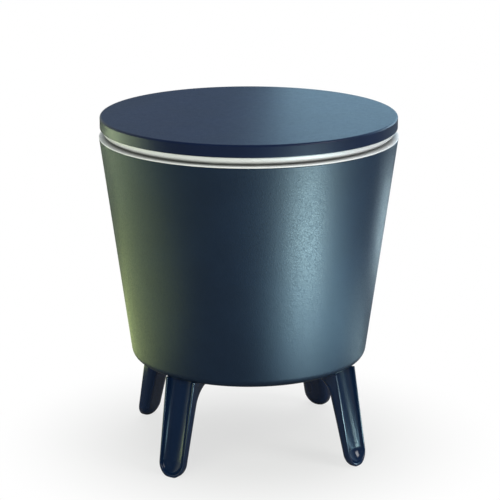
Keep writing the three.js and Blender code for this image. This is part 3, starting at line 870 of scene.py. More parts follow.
LEG_SCREW_RADIUS, LEG_SCREW_HALF_PITCH = 141.4, 13.0
LEG_SCREW_PAIR = ((LEG_SCREW_RADIUS, LEG_SCREW_HALF_PITCH),
                  (LEG_SCREW_RADIUS, -LEG_SCREW_HALF_PITCH))
TRAY_SCREWS = ScrewSet("tray_screws", Body.TOP, 2.1, 20, 4.4, 2.6, 527.1,
                       places_round(185, 6), numbered("tray_screw", 6))
COLUMN_SCREWS = ScrewSet("column_screws", Body.TOP, 2.6, 26, 5, 2.8, 521.8,
                         places_round(44, 4, 45), numbered("column_screw", 4))
COLLAR_SCREWS = ScrewSet("collar_screws", Body.BUCKET, 1.6, 10.5, 3.4, 2.2, 501.7,
                         places_round(45, 3), numbered("collar_screw", 3), heads_up=True)
GUIDE_SCREWS = ScrewSet("guide_screws", Body.BUCKET, 2.1, 15, 4.4, 2.6, 157.2,
                        places_round(48, 4, 22.5), numbered("guide_screw", 4))
LEG_SCREWS = ScrewSet(
    "leg_screws", Body.BUCKET, 2.4, 22, 5, 2.8, 151.9,
    tuple(turned_place(spot, angle) for angle in LEG_ANGLES.values() for spot in LEG_SCREW_PAIR),
    tuple(name for side in LEG_ANGLES for name in numbered(f"leg_{side}_screw", 2)))


class RibFan:
    """A geometry node tree that repeats a plate round the Z axis."""

    def __init__(self) -> None:
        """Builds the tree, with Count and Start Angle as inputs."""
        self.sheet = GeometrySheet("rib_fan")
        count = self.sheet.value("Count", "NodeSocketInt")
        start = self.sheet.value("Start Angle")
        points = self.sheet.signal("GeometryNodePoints", inputs={"Count": count})
        place = self.sheet.signal("GeometryNodeInputIndex")
        angle = place * FULL_TURN / count + start
        turn = self.sheet.signal("FunctionNodeAxisAngleToRotation",
                                 inputs={"Axis": (0.0, 0.0, 1.0), "Angle": angle})
        ribs = self.sheet.signal("GeometryNodeInstanceOnPoints", inputs={
            "Points": points, "Instance": self.sheet.entry.outputs["Geometry"], "Rotation": turn})
        self.sheet.close(ribs)

    def repeat(self, plate: Solid, count: int, start: float, finish: Finish) -> Solid:
        """Repeats a plate.

        Args:
            plate: the plate at angle zero.
            count: how many there are.
            start: the first one's angle in degrees.
            finish: the plastic that they are made of.

        Returns:
            All the plates.
        """
        values = {"Count": count, "Start Angle": math.radians(start)}
        return Solid(self.sheet.run(plate.mesh, finish.material(), values))


@dataclass
class Tub(Assembly):
    """The outer bucket, and the liner with its rim, wall, floor and chimney."""

    ribs: RibFan
    wall: float = 3.5
    floor_ribs: int = 8
    rib_reach: Pair = (63.5, 164.8)
    rib_height: float = 42.9
    rib_thickness: float = 3.0
    boss_radius: float = 6.5
    boss_height: float = 18.0
    liner_wall: float = 3.0
    insulation: float = 22.0
    liner_round: float = 17.0
    skirt_depth: float = 10.0
    skirt_wall: float = 2.2
    ledge: float = 520.4
    ledge_low: float = 515.4
    chimney_radius: float = 37.0
    chimney_spread: float = 4.0
    chimney_ring: float = 10.0
    chimney_ring_depth: float = 8.0
    chimney_fillet: float = 8.0
    outlet: float = 13.3
    pilot_depth: float = 19.0

    def bucket(self) -> Solid:
        """Turns the tapered outer shell and adds the ribs and bosses inside its floor.

        Returns:
            The bucket.
        """
        low, top = DATUM.underside, DATUM.rim - FIT
        floor = low + self.wall
        shell = Solid.turned([
            (0, low),
            Corner(DATUM.side(low), low, DATUM.base_round),
            Corner(DATUM.side(top), top, 0.7),
            Corner(DATUM.side(top, self.wall), top, 0.7),
            Corner(DATUM.side(floor, self.wall), floor, DATUM.base_round - self.wall),
            (0, floor),
        ], SHELL_STEPS)
        start, end = self.rib_reach
        plate = Solid.plate(rounded([
            (start, floor - FIT), (end, floor - FIT),
            Corner(end, floor + self.rib_height, 6), Corner(start, floor + self.rib_height, 6),
        ]), self.rib_thickness)
        fan = self.ribs.repeat(plate, self.floor_ribs, 180 / self.floor_ribs, SATIN_NAVY)
        boss = Solid.disc(self.boss_radius, low + FIT, floor + self.boss_height)
        outlet = Solid.disc(self.outlet, low - OVER, floor + OVER, TUBE_STEPS)
        return shell.with_parts(fan, *boss.at(LEG_SCREWS.places)).without(
            *LEG_SCREWS.holes(low - OVER, low + self.pilot_depth),
            *GUIDE_SCREWS.holes(low - OVER, floor + OVER), outlet.placed(y=DATUM.drain_y))

    def liner(self) -> Solid:
        """Turns the white liner in one skin, from its rim flange to the chimney.

        Returns:
            The liner.
        """
        rim, top = DATUM.rim, DATUM.flange_top
        skirt = DATUM.side(rim, self.wall) - FIT
        skirt_foot = skirt - self.skirt_depth * math.tan(DATUM.taper)
        outer = self.wall + self.insulation
        inner = outer + self.liner_wall
        mouth = DATUM.mouth_radius
        base, floor = DATUM.liner_base, DATUM.floor_top
        crown = DATUM.chimney_top
        tube = self.chimney_radius + self.liner_wall
        ring = tube + self.chimney_ring
        foot = tube + self.chimney_spread
        skin = Solid.turned([
            Corner(DATUM.rim_radius, rim, 0.5),
            (skirt, rim),
            Corner(skirt_foot, rim - self.skirt_depth, 0.6),
            Corner(skirt_foot - self.skirt_wall, rim - self.skirt_depth, 0.6),
            Corner(skirt - self.skirt_wall, rim, 0.8),
            Corner(mouth + self.liner_wall, rim, 2.5),
            Corner(mouth + self.liner_wall, self.ledge - self.liner_wall, 3),
            Corner(DATUM.side(self.ledge_low, outer), self.ledge_low, 3),
            Corner(DATUM.side(base, outer), base, self.liner_round + self.liner_wall),
            Corner(self.chimney_radius + self.chimney_spread, base, 2),
            Corner(self.chimney_radius, crown, 0.8),
            Corner(ring, crown, 1.2),
            Corner(ring, crown - self.chimney_ring_depth, 1.2),
            Corner(tube, crown - self.chimney_ring_depth - self.chimney_ring, 6),
            Corner(foot, floor, self.chimney_fillet),
            Corner(DATUM.side(floor, inner), floor, self.liner_round),
            Corner(DATUM.side(self.ledge_low, inner), self.ledge_low, 4),
            Corner(mouth, self.ledge, 2.5),
            Corner(mouth, top, 0.9),
            Corner(DATUM.rim_radius, top, 0.8),
        ], SHELL_STEPS)
        outlet = Solid.disc(self.outlet, base - OVER, floor + OVER, TUBE_STEPS)
        pilots = COLLAR_SCREWS.holes(crown - self.chimney_ring_depth + FIT, crown + OVER)
        return skin.without(outlet.placed(y=DATUM.drain_y), *pilots)

    def build(self) -> list[Piece]:
        """Makes the bucket and the liner.

        Returns:
            Both pieces.
        """
        return [
            Piece("bucket_shell", self.bucket().mesh, Body.BUCKET, SATIN_NAVY, ("outer_bucket",)),
            Piece("liner_moulding", self.liner().mesh, Body.BUCKET, WHITE_PLASTIC,
                  ("inner_liner", "liner_floor")),
        ]


@dataclass
class Lid(Assembly):
    """The tabletop with its ribs, and the white tray under it."""

    ribs: RibFan
    radius: float = 247.5
    underside: float = 552.6
    top: float = 573.0
    deck: float = 4.0
    skirt: float = 3.5
    edge_round: float = 3.4
    lower_round: float = 1.2
    rib_count: int = 12
    rib_depth: float = 12.0
    rib_thickness: float = 2.5
    rib_start: float = 44.0
    rib_play: float = 1.2
    ring_radius: float = 120.0
    boss_radius: float = 6.0
    tray_wall: float = 3.0
    tray_lip: float = 9.0
    tray_foot: float = 231.0
    tray_edge: float = 538.9
    plug_radius: float = 227.0
    plug_round: float = 5.0
    tray_base: float = 527.4
    curve_steps: int = 14

    def tabletop(self) -> Solid:
        """Turns the round top and adds the ring, ribs and bosses under its deck.

        Returns:
            The tabletop.
        """
        inside = self.radius - self.skirt
        deck = self.top - self.deck
        shell = Solid.turned([
            (0, deck),
            Corner(inside, deck, 1.5),
            Corner(inside, self.underside, 0.6),
            Corner(self.radius, self.underside, self.lower_round),
            Corner(self.radius, self.top, self.edge_round),
            (0, self.top),
        ], SHELL_STEPS)
        low = deck - self.rib_depth
        end = inside - FIT - self.tray_wall - self.rib_play
        start, over = self.rib_start, deck + FIT
        plate = Solid.plate([(start, low), (end, low), (end, over), (start, over)],
                            self.rib_thickness)
        fan = self.ribs.repeat(plate, self.rib_count, 0, TOP_NAVY)
        hoop = Solid.hoop(self.ring_radius, self.ring_radius + self.rib_thickness, low, over)
        boss_low = self.tray_base + self.tray_wall + FIT
        boss = Solid.disc(self.boss_radius, boss_low, over)
        bosses = boss.at(TRAY_SCREWS.places + COLUMN_SCREWS.places)
        ends = boss_low - OVER, deck - self.deck
        return shell.with_parts(fan, hoop, *bosses).without(
            *TRAY_SCREWS.holes(*ends), *COLUMN_SCREWS.holes(*ends))

    def tray(self) -> Solid:
        """Turns the dish that curves in from the tabletop's skirt and plugs the mouth.

        Returns:
            The tray.
        """
        lip = self.radius - self.skirt - FIT
        reach, drop = lip - self.tray_foot, self.underside - self.tray_edge
        lip_top = self.underside + self.tray_lip
        wall, base = self.tray_wall, self.tray_base
        outer, inner = [], []
        for k in range(self.curve_steps + 1):
            angle = QUARTER * k / self.curve_steps
            across, down = math.cos(angle), math.sin(angle)
            outer.append((self.tray_foot + reach * across, self.underside - drop * down))
            inner.append((self.tray_foot + (reach - wall) * across,
                          self.underside - (drop - wall) * down))
        plug = self.plug_radius
        body = Solid.turned([
            (0, base),
            Corner(plug, base, self.plug_round),
            Corner(plug, self.tray_edge, 1.2),
            *reversed(outer),
            Corner(lip, lip_top, 0.8),
            Corner(lip - wall, lip_top, 0.8),
            *inner,
            Corner(plug - wall, self.tray_edge + wall, 2),
            Corner(plug - wall, base + wall, 3),
            (0, base + wall),
        ], SHELL_STEPS)
        ends = base - OVER, base + wall + OVER
        return body.without(*TRAY_SCREWS.holes(*ends), *COLUMN_SCREWS.holes(*ends))

    def build(self) -> list[Piece]:
        """Makes the tabletop and the tray."""
        return [
            Piece("tabletop_moulding", self.tabletop().mesh, Body.TOP, TOP_NAVY, ("tabletop",)),
            Piece("tray_dish", self.tray().mesh, Body.TOP, WHITE_PLASTIC, ("lid_tray",)),
        ]


@dataclass
class Lift(Assembly):
    """The column with its lugs, the plug in its foot, and the glide."""

    ribs: RibFan
    foot: float = 183.1
    top: float = 527.1
    wall: float = 4.0
    flange_radius: float = 56.0
    flange_thickness: float = 5.0
    gussets: int = 4
    gusset_height: float = 12.0
    gusset_reach: float = 22.0
    gusset_thickness: float = 3.0
    lug_radius: float = 35.0
    lug_height: float = 14.0
    lug_half: float = 10.0
    glide_foot: float = 168.8
    glide_height: float = 14.0
    plug_neck: float = 27.5
    plug_flange: float = 4.5
    plug_height: float = 30.0
    plug_wall: float = 3.5

    def column(self) -> Solid:
        """Turns the tube and adds its flange, gussets and two bayonet lugs.

        Returns:
            The column.
        """
        radius, bore = DATUM.column_radius, DATUM.column_radius - self.wall
        low = self.top - self.flange_thickness
        tube = Solid.turned([
            Corner(bore, self.foot, 0.6), Corner(radius, self.foot, 0.6),
            Corner(radius, low, 1.5), Corner(self.flange_radius, low, 1),
            Corner(self.flange_radius, self.top, 0.6), Corner(bore, self.top, 1),
        ], TUBE_STEPS)
        inner = radius - self.wall / 2
        reach = radius + self.gusset_reach
        plate = Solid.plate([
            (inner, low + FIT), (inner, low - self.gusset_height),
            (radius, low - self.gusset_height), (reach, low), (reach, low + FIT),
        ], self.gusset_thickness)
        fan = self.ribs.repeat(plate, self.gussets, 0, WHITE_PLASTIC)
        lugs = [Solid.sector(inner, self.lug_radius, a - self.lug_half, a + self.lug_half,
                             self.foot, self.foot + self.lug_height) for a in TWO_SIDES]
        return tube.with_parts(fan, *lugs).without(
            *COLUMN_SCREWS.holes(low - OVER, self.top + OVER))

    def plug(self) -> Solid:
        """Turns the cap in the column's foot, whose neck carries the glide.

        Returns:
            The plug.
        """
        spigot = DATUM.column_radius - self.wall - FIT
        high = self.glide_foot - FIT
        low = high - self.plug_flange
        top = self.foot + self.plug_height
        return Solid.turned([
            Corner(spigot - self.plug_wall, low, 0.6),
            Corner(DATUM.column_radius, low, 0.8),
            Corner(DATUM.column_radius, high, 0.6),
            (self.plug_neck, high), (self.plug_neck, self.foot - FIT),
            (spigot, self.foot - FIT), Corner(spigot, top, 1), (0, top),
            (0, top - self.plug_wall), Corner(spigot - self.plug_wall, top - self.plug_wall, 1),
        ], TUBE_STEPS)

    def glide(self) -> Solid:
        """Makes the ring whose two keys ride in the guide's channels.

        Returns:
            The glide.
        """
        bore, top = self.plug_neck + RUNNING, self.glide_foot + self.glide_height
        outer = DATUM.column_radius + FIT
        ring = Solid.hoop(bore, outer, self.glide_foot, top, 0.3, 0.5)
        inner = (bore + DATUM.column_radius) / 2
        keys = [Solid.sector(inner, self.lug_radius, a - self.lug_half, a + self.lug_half,
                             self.glide_foot, top) for a in TWO_SIDES]
        return ring.with_parts(*keys)

    def build(self) -> list[Piece]:
        """Makes the column, the plug and the glide."""
        return [
            Piece("column_tube", self.column().mesh, Body.TOP, WHITE_PLASTIC, ("lift_column",)),
            Piece("column_plug", self.plug().mesh, Body.TOP, ACETAL, ("column_end_plug",)),
            Piece("glide_ring", self.glide().mesh, Body.GLIDE, ACETAL, ("column_glide",)),
        ]


@dataclass
class Guide(Assembly):
    """The fixed tube with the channels and locking pockets, and the collar above it."""

    foot: float = 161.3
    top: float = 467.1
    bore: float = 30.6
    outer: float = 35.6
    flange_radius: float = 57.0
    flange_thickness: float = 5.0
    boss_radius: float = 6.5
    boss_height: float = 14.0
    channel_foot: float = 168.5
    pocket_foot: float = 182.8
    pocket_height: float = 14.6
    travel: float = 270.0
    twist: float = 45.0
    channel_half: float = 11.0
    cut_depth: float = 3.0  # how far the channels' tools reach into the bore
    collar_foot: float = 467.4
    collar_flange: float = 497.4
    collar_top: float = 501.4
    collar_reach: float = 50.0
    collar_spigot: float = 36.7
    collar_chamfer: float = 2.0

    def tube(self) -> Solid:
        """Makes the guide with its channels and a pocket beside each end of the travel.

        Returns:
            The guide.
        """
        high = self.foot + self.flange_thickness
        body = Solid.turned([
            (self.bore, self.foot), Corner(self.flange_radius, self.foot, 0.6),
            Corner(self.flange_radius, high, 0.8), Corner(self.outer, high, 2),
            Corner(self.outer, self.top, 0.5), Corner(self.bore, self.top, 0.5),
        ], TUBE_STEPS)
        boss = Solid.disc(self.boss_radius, self.foot + FIT, self.foot + self.boss_height)
        pilots = GUIDE_SCREWS.holes(self.foot - OVER, self.foot + self.boss_height - FIT)
        over, half = self.top + OVER, self.channel_half
        bore = Solid.disc(self.bore, self.foot - OVER, over, TUBE_STEPS)
        inner, outer = self.bore - self.cut_depth, self.outer + OVER
        cuts = []
        for angle in TWO_SIDES:
            turn = angle - self.twist - half
            cuts.append(Solid.sector(inner, outer, angle - half, angle + half,
                                     self.channel_foot, over))
            cuts.append(Solid.sector(inner, outer, turn, angle + half, self.pocket_foot,
                                     self.pocket_foot + self.pocket_height))
            cuts.append(Solid.sector(inner, outer, turn, angle + half,
                                     self.pocket_foot + self.travel, over))
        return body.with_parts(*boss.at(GUIDE_SCREWS.places)).without(bore, *cuts, *pilots)

    def collar(self) -> Solid:
        """Makes the bush at the chimney's top, with a chamfered flange.

        Returns:
            The collar.
        """
        body = Solid.turned([
            Corner(self.bore, self.collar_foot, 0.8),
            Corner(self.collar_spigot, self.collar_foot, 0.5),
            (self.collar_spigot, self.collar_flange),
            Corner(self.collar_reach, self.collar_flange, 0.4),
            Corner(self.collar_reach, self.collar_top - self.collar_chamfer, 1),
            Corner(self.collar_reach - self.collar_chamfer, self.collar_top, 1),
            Corner(self.bore, self.collar_top, 1.2),
        ], TUBE_STEPS)
        return body.without(*COLLAR_SCREWS.holes(self.collar_flange - OVER, self.collar_top + OVER))

    def build(self) -> list[Piece]:
        """Makes the guide and the collar."""
        return [
            Piece("guide_channel_tube", self.tube().mesh, Body.BUCKET, ACETAL, ("guide_tube",)),
            Piece("collar_bush", self.collar().mesh, Body.BUCKET, WHITE_PLASTIC,
                  ("guide_collar",)),
        ]


@dataclass
class Drain(Assembly):
    """The outlet through both floors, with its seal, locknut, cap and gasket."""

    pipe: float = 12.5
    bore: float = 9.0
    flange: float = 21.0
    pipe_foot: float = 142.5
    flange_low: float = 209.8
    flange_thickness: float = 3.0
    flange_draft: float = 0.4
    mouth_chamfer: float = 3.0
    seal_thickness: float = 2.0
    nut_low: float = 149.2
    nut_high: float = 157.2
    nut_radius: float = 19.0
    cap_low: float = 136.9
    cap_floor: float = 139.9
    cap_high: float = 148.9
    cap_radius: float = 18.0
    nut_face: float = 17.4  # the radius at which the nut's chamfer starts
    nut_chamfer: float = 1.2
    lobes: int = 8
    lobe_depth: float = 1.4
    lobe_start: float = 14.5
    groove: Pair = (11.0, 13.4)
    groove_depth: float = 0.7
    groove_slope: float = 0.6
    gasket_thickness: float = 2.0

    def spout(self) -> Solid:
        """Turns the flanged pipe.

        Returns:
            The spout.
        """
        high = self.flange_low + self.flange_thickness
        return Solid.turned([
            Corner(self.bore, self.pipe_foot, 0.5), Corner(self.pipe, self.pipe_foot, 0.8),
            (self.pipe, self.flange_low), Corner(self.flange, self.flange_low, 0.4),
            Corner(self.flange - self.flange_draft, high, 2.2),
            Corner(self.bore + self.mouth_chamfer, high, 1.5),
            Corner(self.bore, high - self.mouth_chamfer, 1.5),
        ], TUBE_STEPS)

    def seal(self) -> Solid:
        """The rubber ring under the flange."""
        low = DATUM.floor_top + FIT
        return Solid.hoop(self.pipe + FIT, self.flange - FIT, low, low + self.seal_thickness, 0.4,
                          0.6)

    def locknut(self) -> Solid:
        """Turns the nut under the bucket and flattens it.

        Returns:
            The locknut.
        """
        sixth = FULL_TURN / 6
        bore = self.pipe + FIT

        def six_sided(r: float, angle: float) -> float:
            """Flattens the outside into six sides; the bore is too narrow to be reached."""
            flat = math.cos(sixth / 2) / math.cos(angle % sixth - sixth / 2)
            return min(r, self.nut_radius * flat)

        return Solid.turned([
            Corner(bore, self.nut_low, 0.5), Corner(self.nut_face, self.nut_low, 0.2),
            (self.nut_radius, self.nut_low + self.nut_chamfer),
            (self.nut_radius, self.nut_high - self.nut_chamfer),
            Corner(self.nut_face, self.nut_high, 0.2), Corner(bore, self.nut_high, 0.5),
        ], TUBE_STEPS, six_sided)

    def cap(self) -> Solid:
        """Turns the screw cap and draws its grip in between the lobes.

        Returns:
            The cap.
        """

        def lobed(r: float, angle: float) -> float:
            """Draws the outside in between the lobes.

            Args:
                r: the outline's radius, which is kept inside lobe_start.
                angle: the angle about the cap's axis.

            Returns:
                The radius there.
            """
            wave = (1 + math.cos(self.lobes * angle)) / 2
            share = max(0.0, (r - self.lobe_start) / (self.cap_radius - self.lobe_start))
            return r - self.lobe_depth * wave * share

        start, end = self.groove
        low, bore = self.cap_low, self.pipe + RUNNING
        return Solid.turned([
            (0, low), Corner(start, low, 0.4),
            Corner(start + self.groove_slope, low + self.groove_depth, 0.4),
            Corner(end - self.groove_slope, low + self.groove_depth, 0.4), Corner(end, low, 0.4),
            Corner(self.cap_radius, low, 1.6), Corner(self.cap_radius, self.cap_high, 0.8),
            Corner(bore, self.cap_high, 0.5), (bore, self.cap_floor), (0, self.cap_floor),
        ], TUBE_STEPS, lobed)

    def gasket(self) -> Solid:
        """Makes the disc that seals the pipe's end.

        Returns:
            The gasket.
        """
        low = self.cap_floor + FIT
        high = low + self.gasket_thickness
        return Solid.turned([(0, low), Corner(self.pipe, low, 0.6), Corner(self.pipe, high, 0.6),
                             (0, high)], TUBE_STEPS)

    def build(self) -> list[Piece]:
        """Makes the drain's pieces and moves them to its own axis.

        Returns:
            The five pieces.
        """
        rows = [
            ("spout_pipe", self.spout(), Body.BUCKET, DRAIN_WHITE, "drain_spout"),
            ("spout_seal", self.seal(), Body.BUCKET, SEAL_RUBBER, "drain_seal"),
            ("spout_locknut", self.locknut(), Body.BUCKET, DRAIN_WHITE, "drain_locknut"),
            ("lobed_cap", self.cap(), Body.CAP, DRAIN_WHITE, "drain_cap"),
            ("cap_gasket", self.gasket(), Body.GASKET, SEAL_RUBBER, "drain_cap_gasket"),
        ]
        return [Piece(name, solid.placed(y=DATUM.drain_y).mesh, body, finish, (node,))
                for name, solid, body, finish, node in rows]


@dataclass
class Legs(Assembly):
    """Four splayed legs: each a scoop, open outwards, with a round toe and a tab at its root."""

    splay: float = math.radians(10.45)
    setback: float = 0.4
    toe_radius: float = 25.2
    toe_centre: float = 23.7
    root_half: float = 29.0
    toe_depth: float = 16.0
    root_depth: float = 28.0
    wall: float = 3.0
    lip: float = 1.25
    sole: float = 3.6
    back_round: float = 14.0
    back_round_share: float = 0.6
    trough_power: float = 2.05
    flare_reach: float = 27.0
    flare_foot: float = 118.5
    flare_height: float = 34.0
    crown: float = 3.5
    tab_low: float = 152.5
    tab_end: float = 129.4
    tab_root: float = 169.4
    tab_half: float = 23.0
    tab_round: float = 9.0
    rim_share: float = 0.15  # the part of the way to the outer toe centre at each edge of the rim
    tab_play: float = 1.5
    curve_steps: int = 16
    rim_steps: int = 4
    row_steps: int = 12
    toe_steps: int = 28
    seat_passes: int = 2  # how often a point's height is worked out again from its place

    def face(self, z: float) -> float:
        """The outer face's distance from the column at a height."""
        root = DATUM.side(DATUM.underside) - self.setback
        return root + (DATUM.underside - z) * math.tan(self.splay)

    def half_width(self, z: float) -> float:
        """Half of the leg's width at a height above the toe."""
        share = (z - self.toe_centre) / (DATUM.underside - self.toe_centre)
        return self.toe_radius + (self.root_half - self.toe_radius) * max(0.0, share)

    def depth(self, z: float) -> float:
        """The leg's depth behind its outer face."""
        return self.toe_depth + (self.root_depth - self.toe_depth) * z / DATUM.underside

    def flare(self, z: float) -> float:
        """How far the back swings in towards the tab."""
        share = min(1.0, max(0.0, (z - self.flare_foot) / self.flare_height))
        return self.flare_reach * (1 - math.sqrt(1 - share * share))

    def ceiling(self, x: float, y: float) -> float:
        """Finds where the leg meets the bucket's skin.

        Args:
            x: the place's distance from the column along the leg's own direction.
            y: its distance from the leg's middle plane.

        Returns:
            The height.
        """
        level = DATUM.underside - FIT
        past = math.hypot(x, y) - DATUM.base_centre()
        if past <= 0:
            return level
        radius = DATUM.base_round + FIT
        if past >= radius:
            return DATUM.underside + self.crown
        rise = radius - math.sqrt(radius * radius - past * past)
        return min(level + rise, DATUM.underside + self.crown)

    def section(self, z: float) -> list[Triple]:
        """The section from the trough's spine over the rim to the back's spine.

        Args:
            z: the height that sets the section's sizes.

        Returns:
            Rows of distance from the spine, depth behind the face, and the share of the way
            from the trough's own toe centre to the outer one.
        """
        half, depth, flare = self.half_width(z), self.depth(z), self.flare(z)
        n, lip = self.curve_steps, self.lip
        inner_half, inner_depth = half - self.wall, depth - self.wall
        power = 2 / self.trough_power
        rows = []
        for k in range(n + 1):
            angle = QUARTER * (1 - k / n)
            rows.append((inner_half * math.cos(angle) ** power,
                         max(lip, inner_depth * math.sin(angle) ** power), 0.0))
        for k in range(1, self.rim_steps + 1):
            angle = QUARTER * k / self.rim_steps
            rows.append((inner_half + lip * (1 - math.cos(angle)), lip * (1 - math.sin(angle)),
                         self.rim_share * k / self.rim_steps))
        for k in range(self.rim_steps + 1):
            angle = QUARTER * k / self.rim_steps
            rows.append((half - lip * (1 - math.sin(angle)), lip * (1 - math.cos(angle)),
                         1 - self.rim_share * (1 - k / self.rim_steps)))
        corner = self.back_round_share * depth
        straight = depth + flare - corner
        for k in range(n):
            angle = QUARTER * k / (n - 1)
            rows.append((half - self.back_round * (1 - math.cos(angle)),
                         straight + corner * math.sin(angle), 1.0))
        rows.append((0.0, depth + flare, 1.0))
        return rows

    def heights(self) -> list[float]:
        """Spaces the shell's rows, closest along the flare.

        Returns:
            Heights from the root to the toe's centre.
        """
        steps = self.row_steps
        return [
            DATUM.underside - FIT, self.tab_low + self.tab_play,
            *(self.flare_foot + self.flare_height * math.sin(QUARTER * k / steps)
              for k in range(steps, -1, -1)),
            *(self.flare_foot + (self.toe_centre - self.flare_foot) * k / steps
              for k in range(1, steps + 1)),
        ]

    def side_row(self, level: float) -> list[Triple]:
        """Sets one section upright on a side of the leg.

        Args:
            level: a height between the toe's centre and the root.

        Returns:
            The section's points, each moved up to the bucket's skin by its share of the height.
        """
        root = DATUM.underside - FIT
        share = (level - self.toe_centre) / (root - self.toe_centre)
        row = []
        for across, deep, outer in self.section(level):
            centre = self.toe_middle(outer)
            z = centre + (root - centre) * share
            for _ in range(self.seat_passes):
                z = centre + (self.ceiling(self.face(z) - deep, across) - centre) * share
            row.append((self.face(z) - deep, -across, z))
        return row

    def toe_row(self, angle: float) -> list[Triple]:
        """Sets one section at an angle round the toe.

        Args:
            angle: half a turn on one side of the leg and a whole turn on the other.

        Returns:
            The section's points, none below the floor.
        """
        row = []
        for across, deep, outer in self.section(self.toe_centre):
            z = max(0.0, self.toe_middle(outer) + across * math.sin(angle))
            row.append((self.face(z) - deep, across * math.cos(angle), z))
        return row

    def toe_middle(self, outer: float) -> float:
        """The height of the toe's centre, from the trough's own to that of the outside."""
        trough = self.toe_radius - self.wall + self.sole
        return trough + (self.toe_centre - trough) * outer

    def scoop(self) -> Solid:
        """Skins one leg's shell, with its outer side towards +X.

        Returns:
            The shell.
        """
        left = [self.side_row(level) for level in self.heights()]
        rows = left + [self.toe_row(math.pi * (1 + k / self.toe_steps))
                       for k in range(1, self.toe_steps)]
        rows += [[(x, -y, z) for x, y, z in row] for row in reversed(left)]
        width = len(rows[0])
        faces = []
        for r in range(len(rows) - 1):
            for t in range(width - 1):
                a = r * width + t
                faces.append([a, a + 1, a + width + 1, a + width])
        last = (len(rows) - 1) * width
        for t in range(width // 2 - 1):
            back = width - 1 - t
            faces.append([back, back - 1, t + 1, t])
            faces.append([last + t, last + t + 1, last + back - 1, last + back])
        mesh = mesh_of([p for row in rows for p in row], faces)
        return Solid(merged(mesh))

    def leg(self) -> Solid:
        """Makes one leg with its tab and the tab's holes.

        Returns:
            The leg, with its outer side towards +X.
        """
        tab = Solid.prism(rounded([
            (self.tab_root, self.tab_half), Corner(self.tab_end, self.tab_half, self.tab_round),
            Corner(self.tab_end, -self.tab_half, self.tab_round), (self.tab_root, -self.tab_half),
        ]), self.tab_low, DATUM.underside - FIT - HAIR)
        hole = Solid.disc(LEG_SCREWS.shank + FIT, self.tab_low - OVER, DATUM.underside + OVER)
        return self.scoop().with_parts(tab).without(*hole.at(LEG_SCREW_PAIR))

    def build(self) -> list[Piece]:
        """Makes the four legs."""
        leg = self.leg()
        return [Piece(f"scoop_leg_{side}", leg.placed(angle).mesh, Body.BUCKET, GLOSS_NAVY,
                      (f"leg_{side}",)) for side, angle in LEG_ANGLES.items()]


def merged(mesh: bpy.types.Mesh) -> bpy.types.Mesh:
    """Merges doubles and turns the faces outwards.

    Args:
        mesh: a closed mesh with doubled seams.

    Returns:
        The same mesh, cleaned.
    """
    work = bmesh.new()
    work.from_mesh(mesh)
    bmesh.ops.remove_doubles(work, verts=work.verts, dist=MERGE)
    bmesh.ops.dissolve_degenerate(work, dist=MERGE, edges=work.edges)
    bmesh.ops.recalc_face_normals(work, faces=work.faces)
    work.to_mesh(mesh)
    work.free()
    return mesh


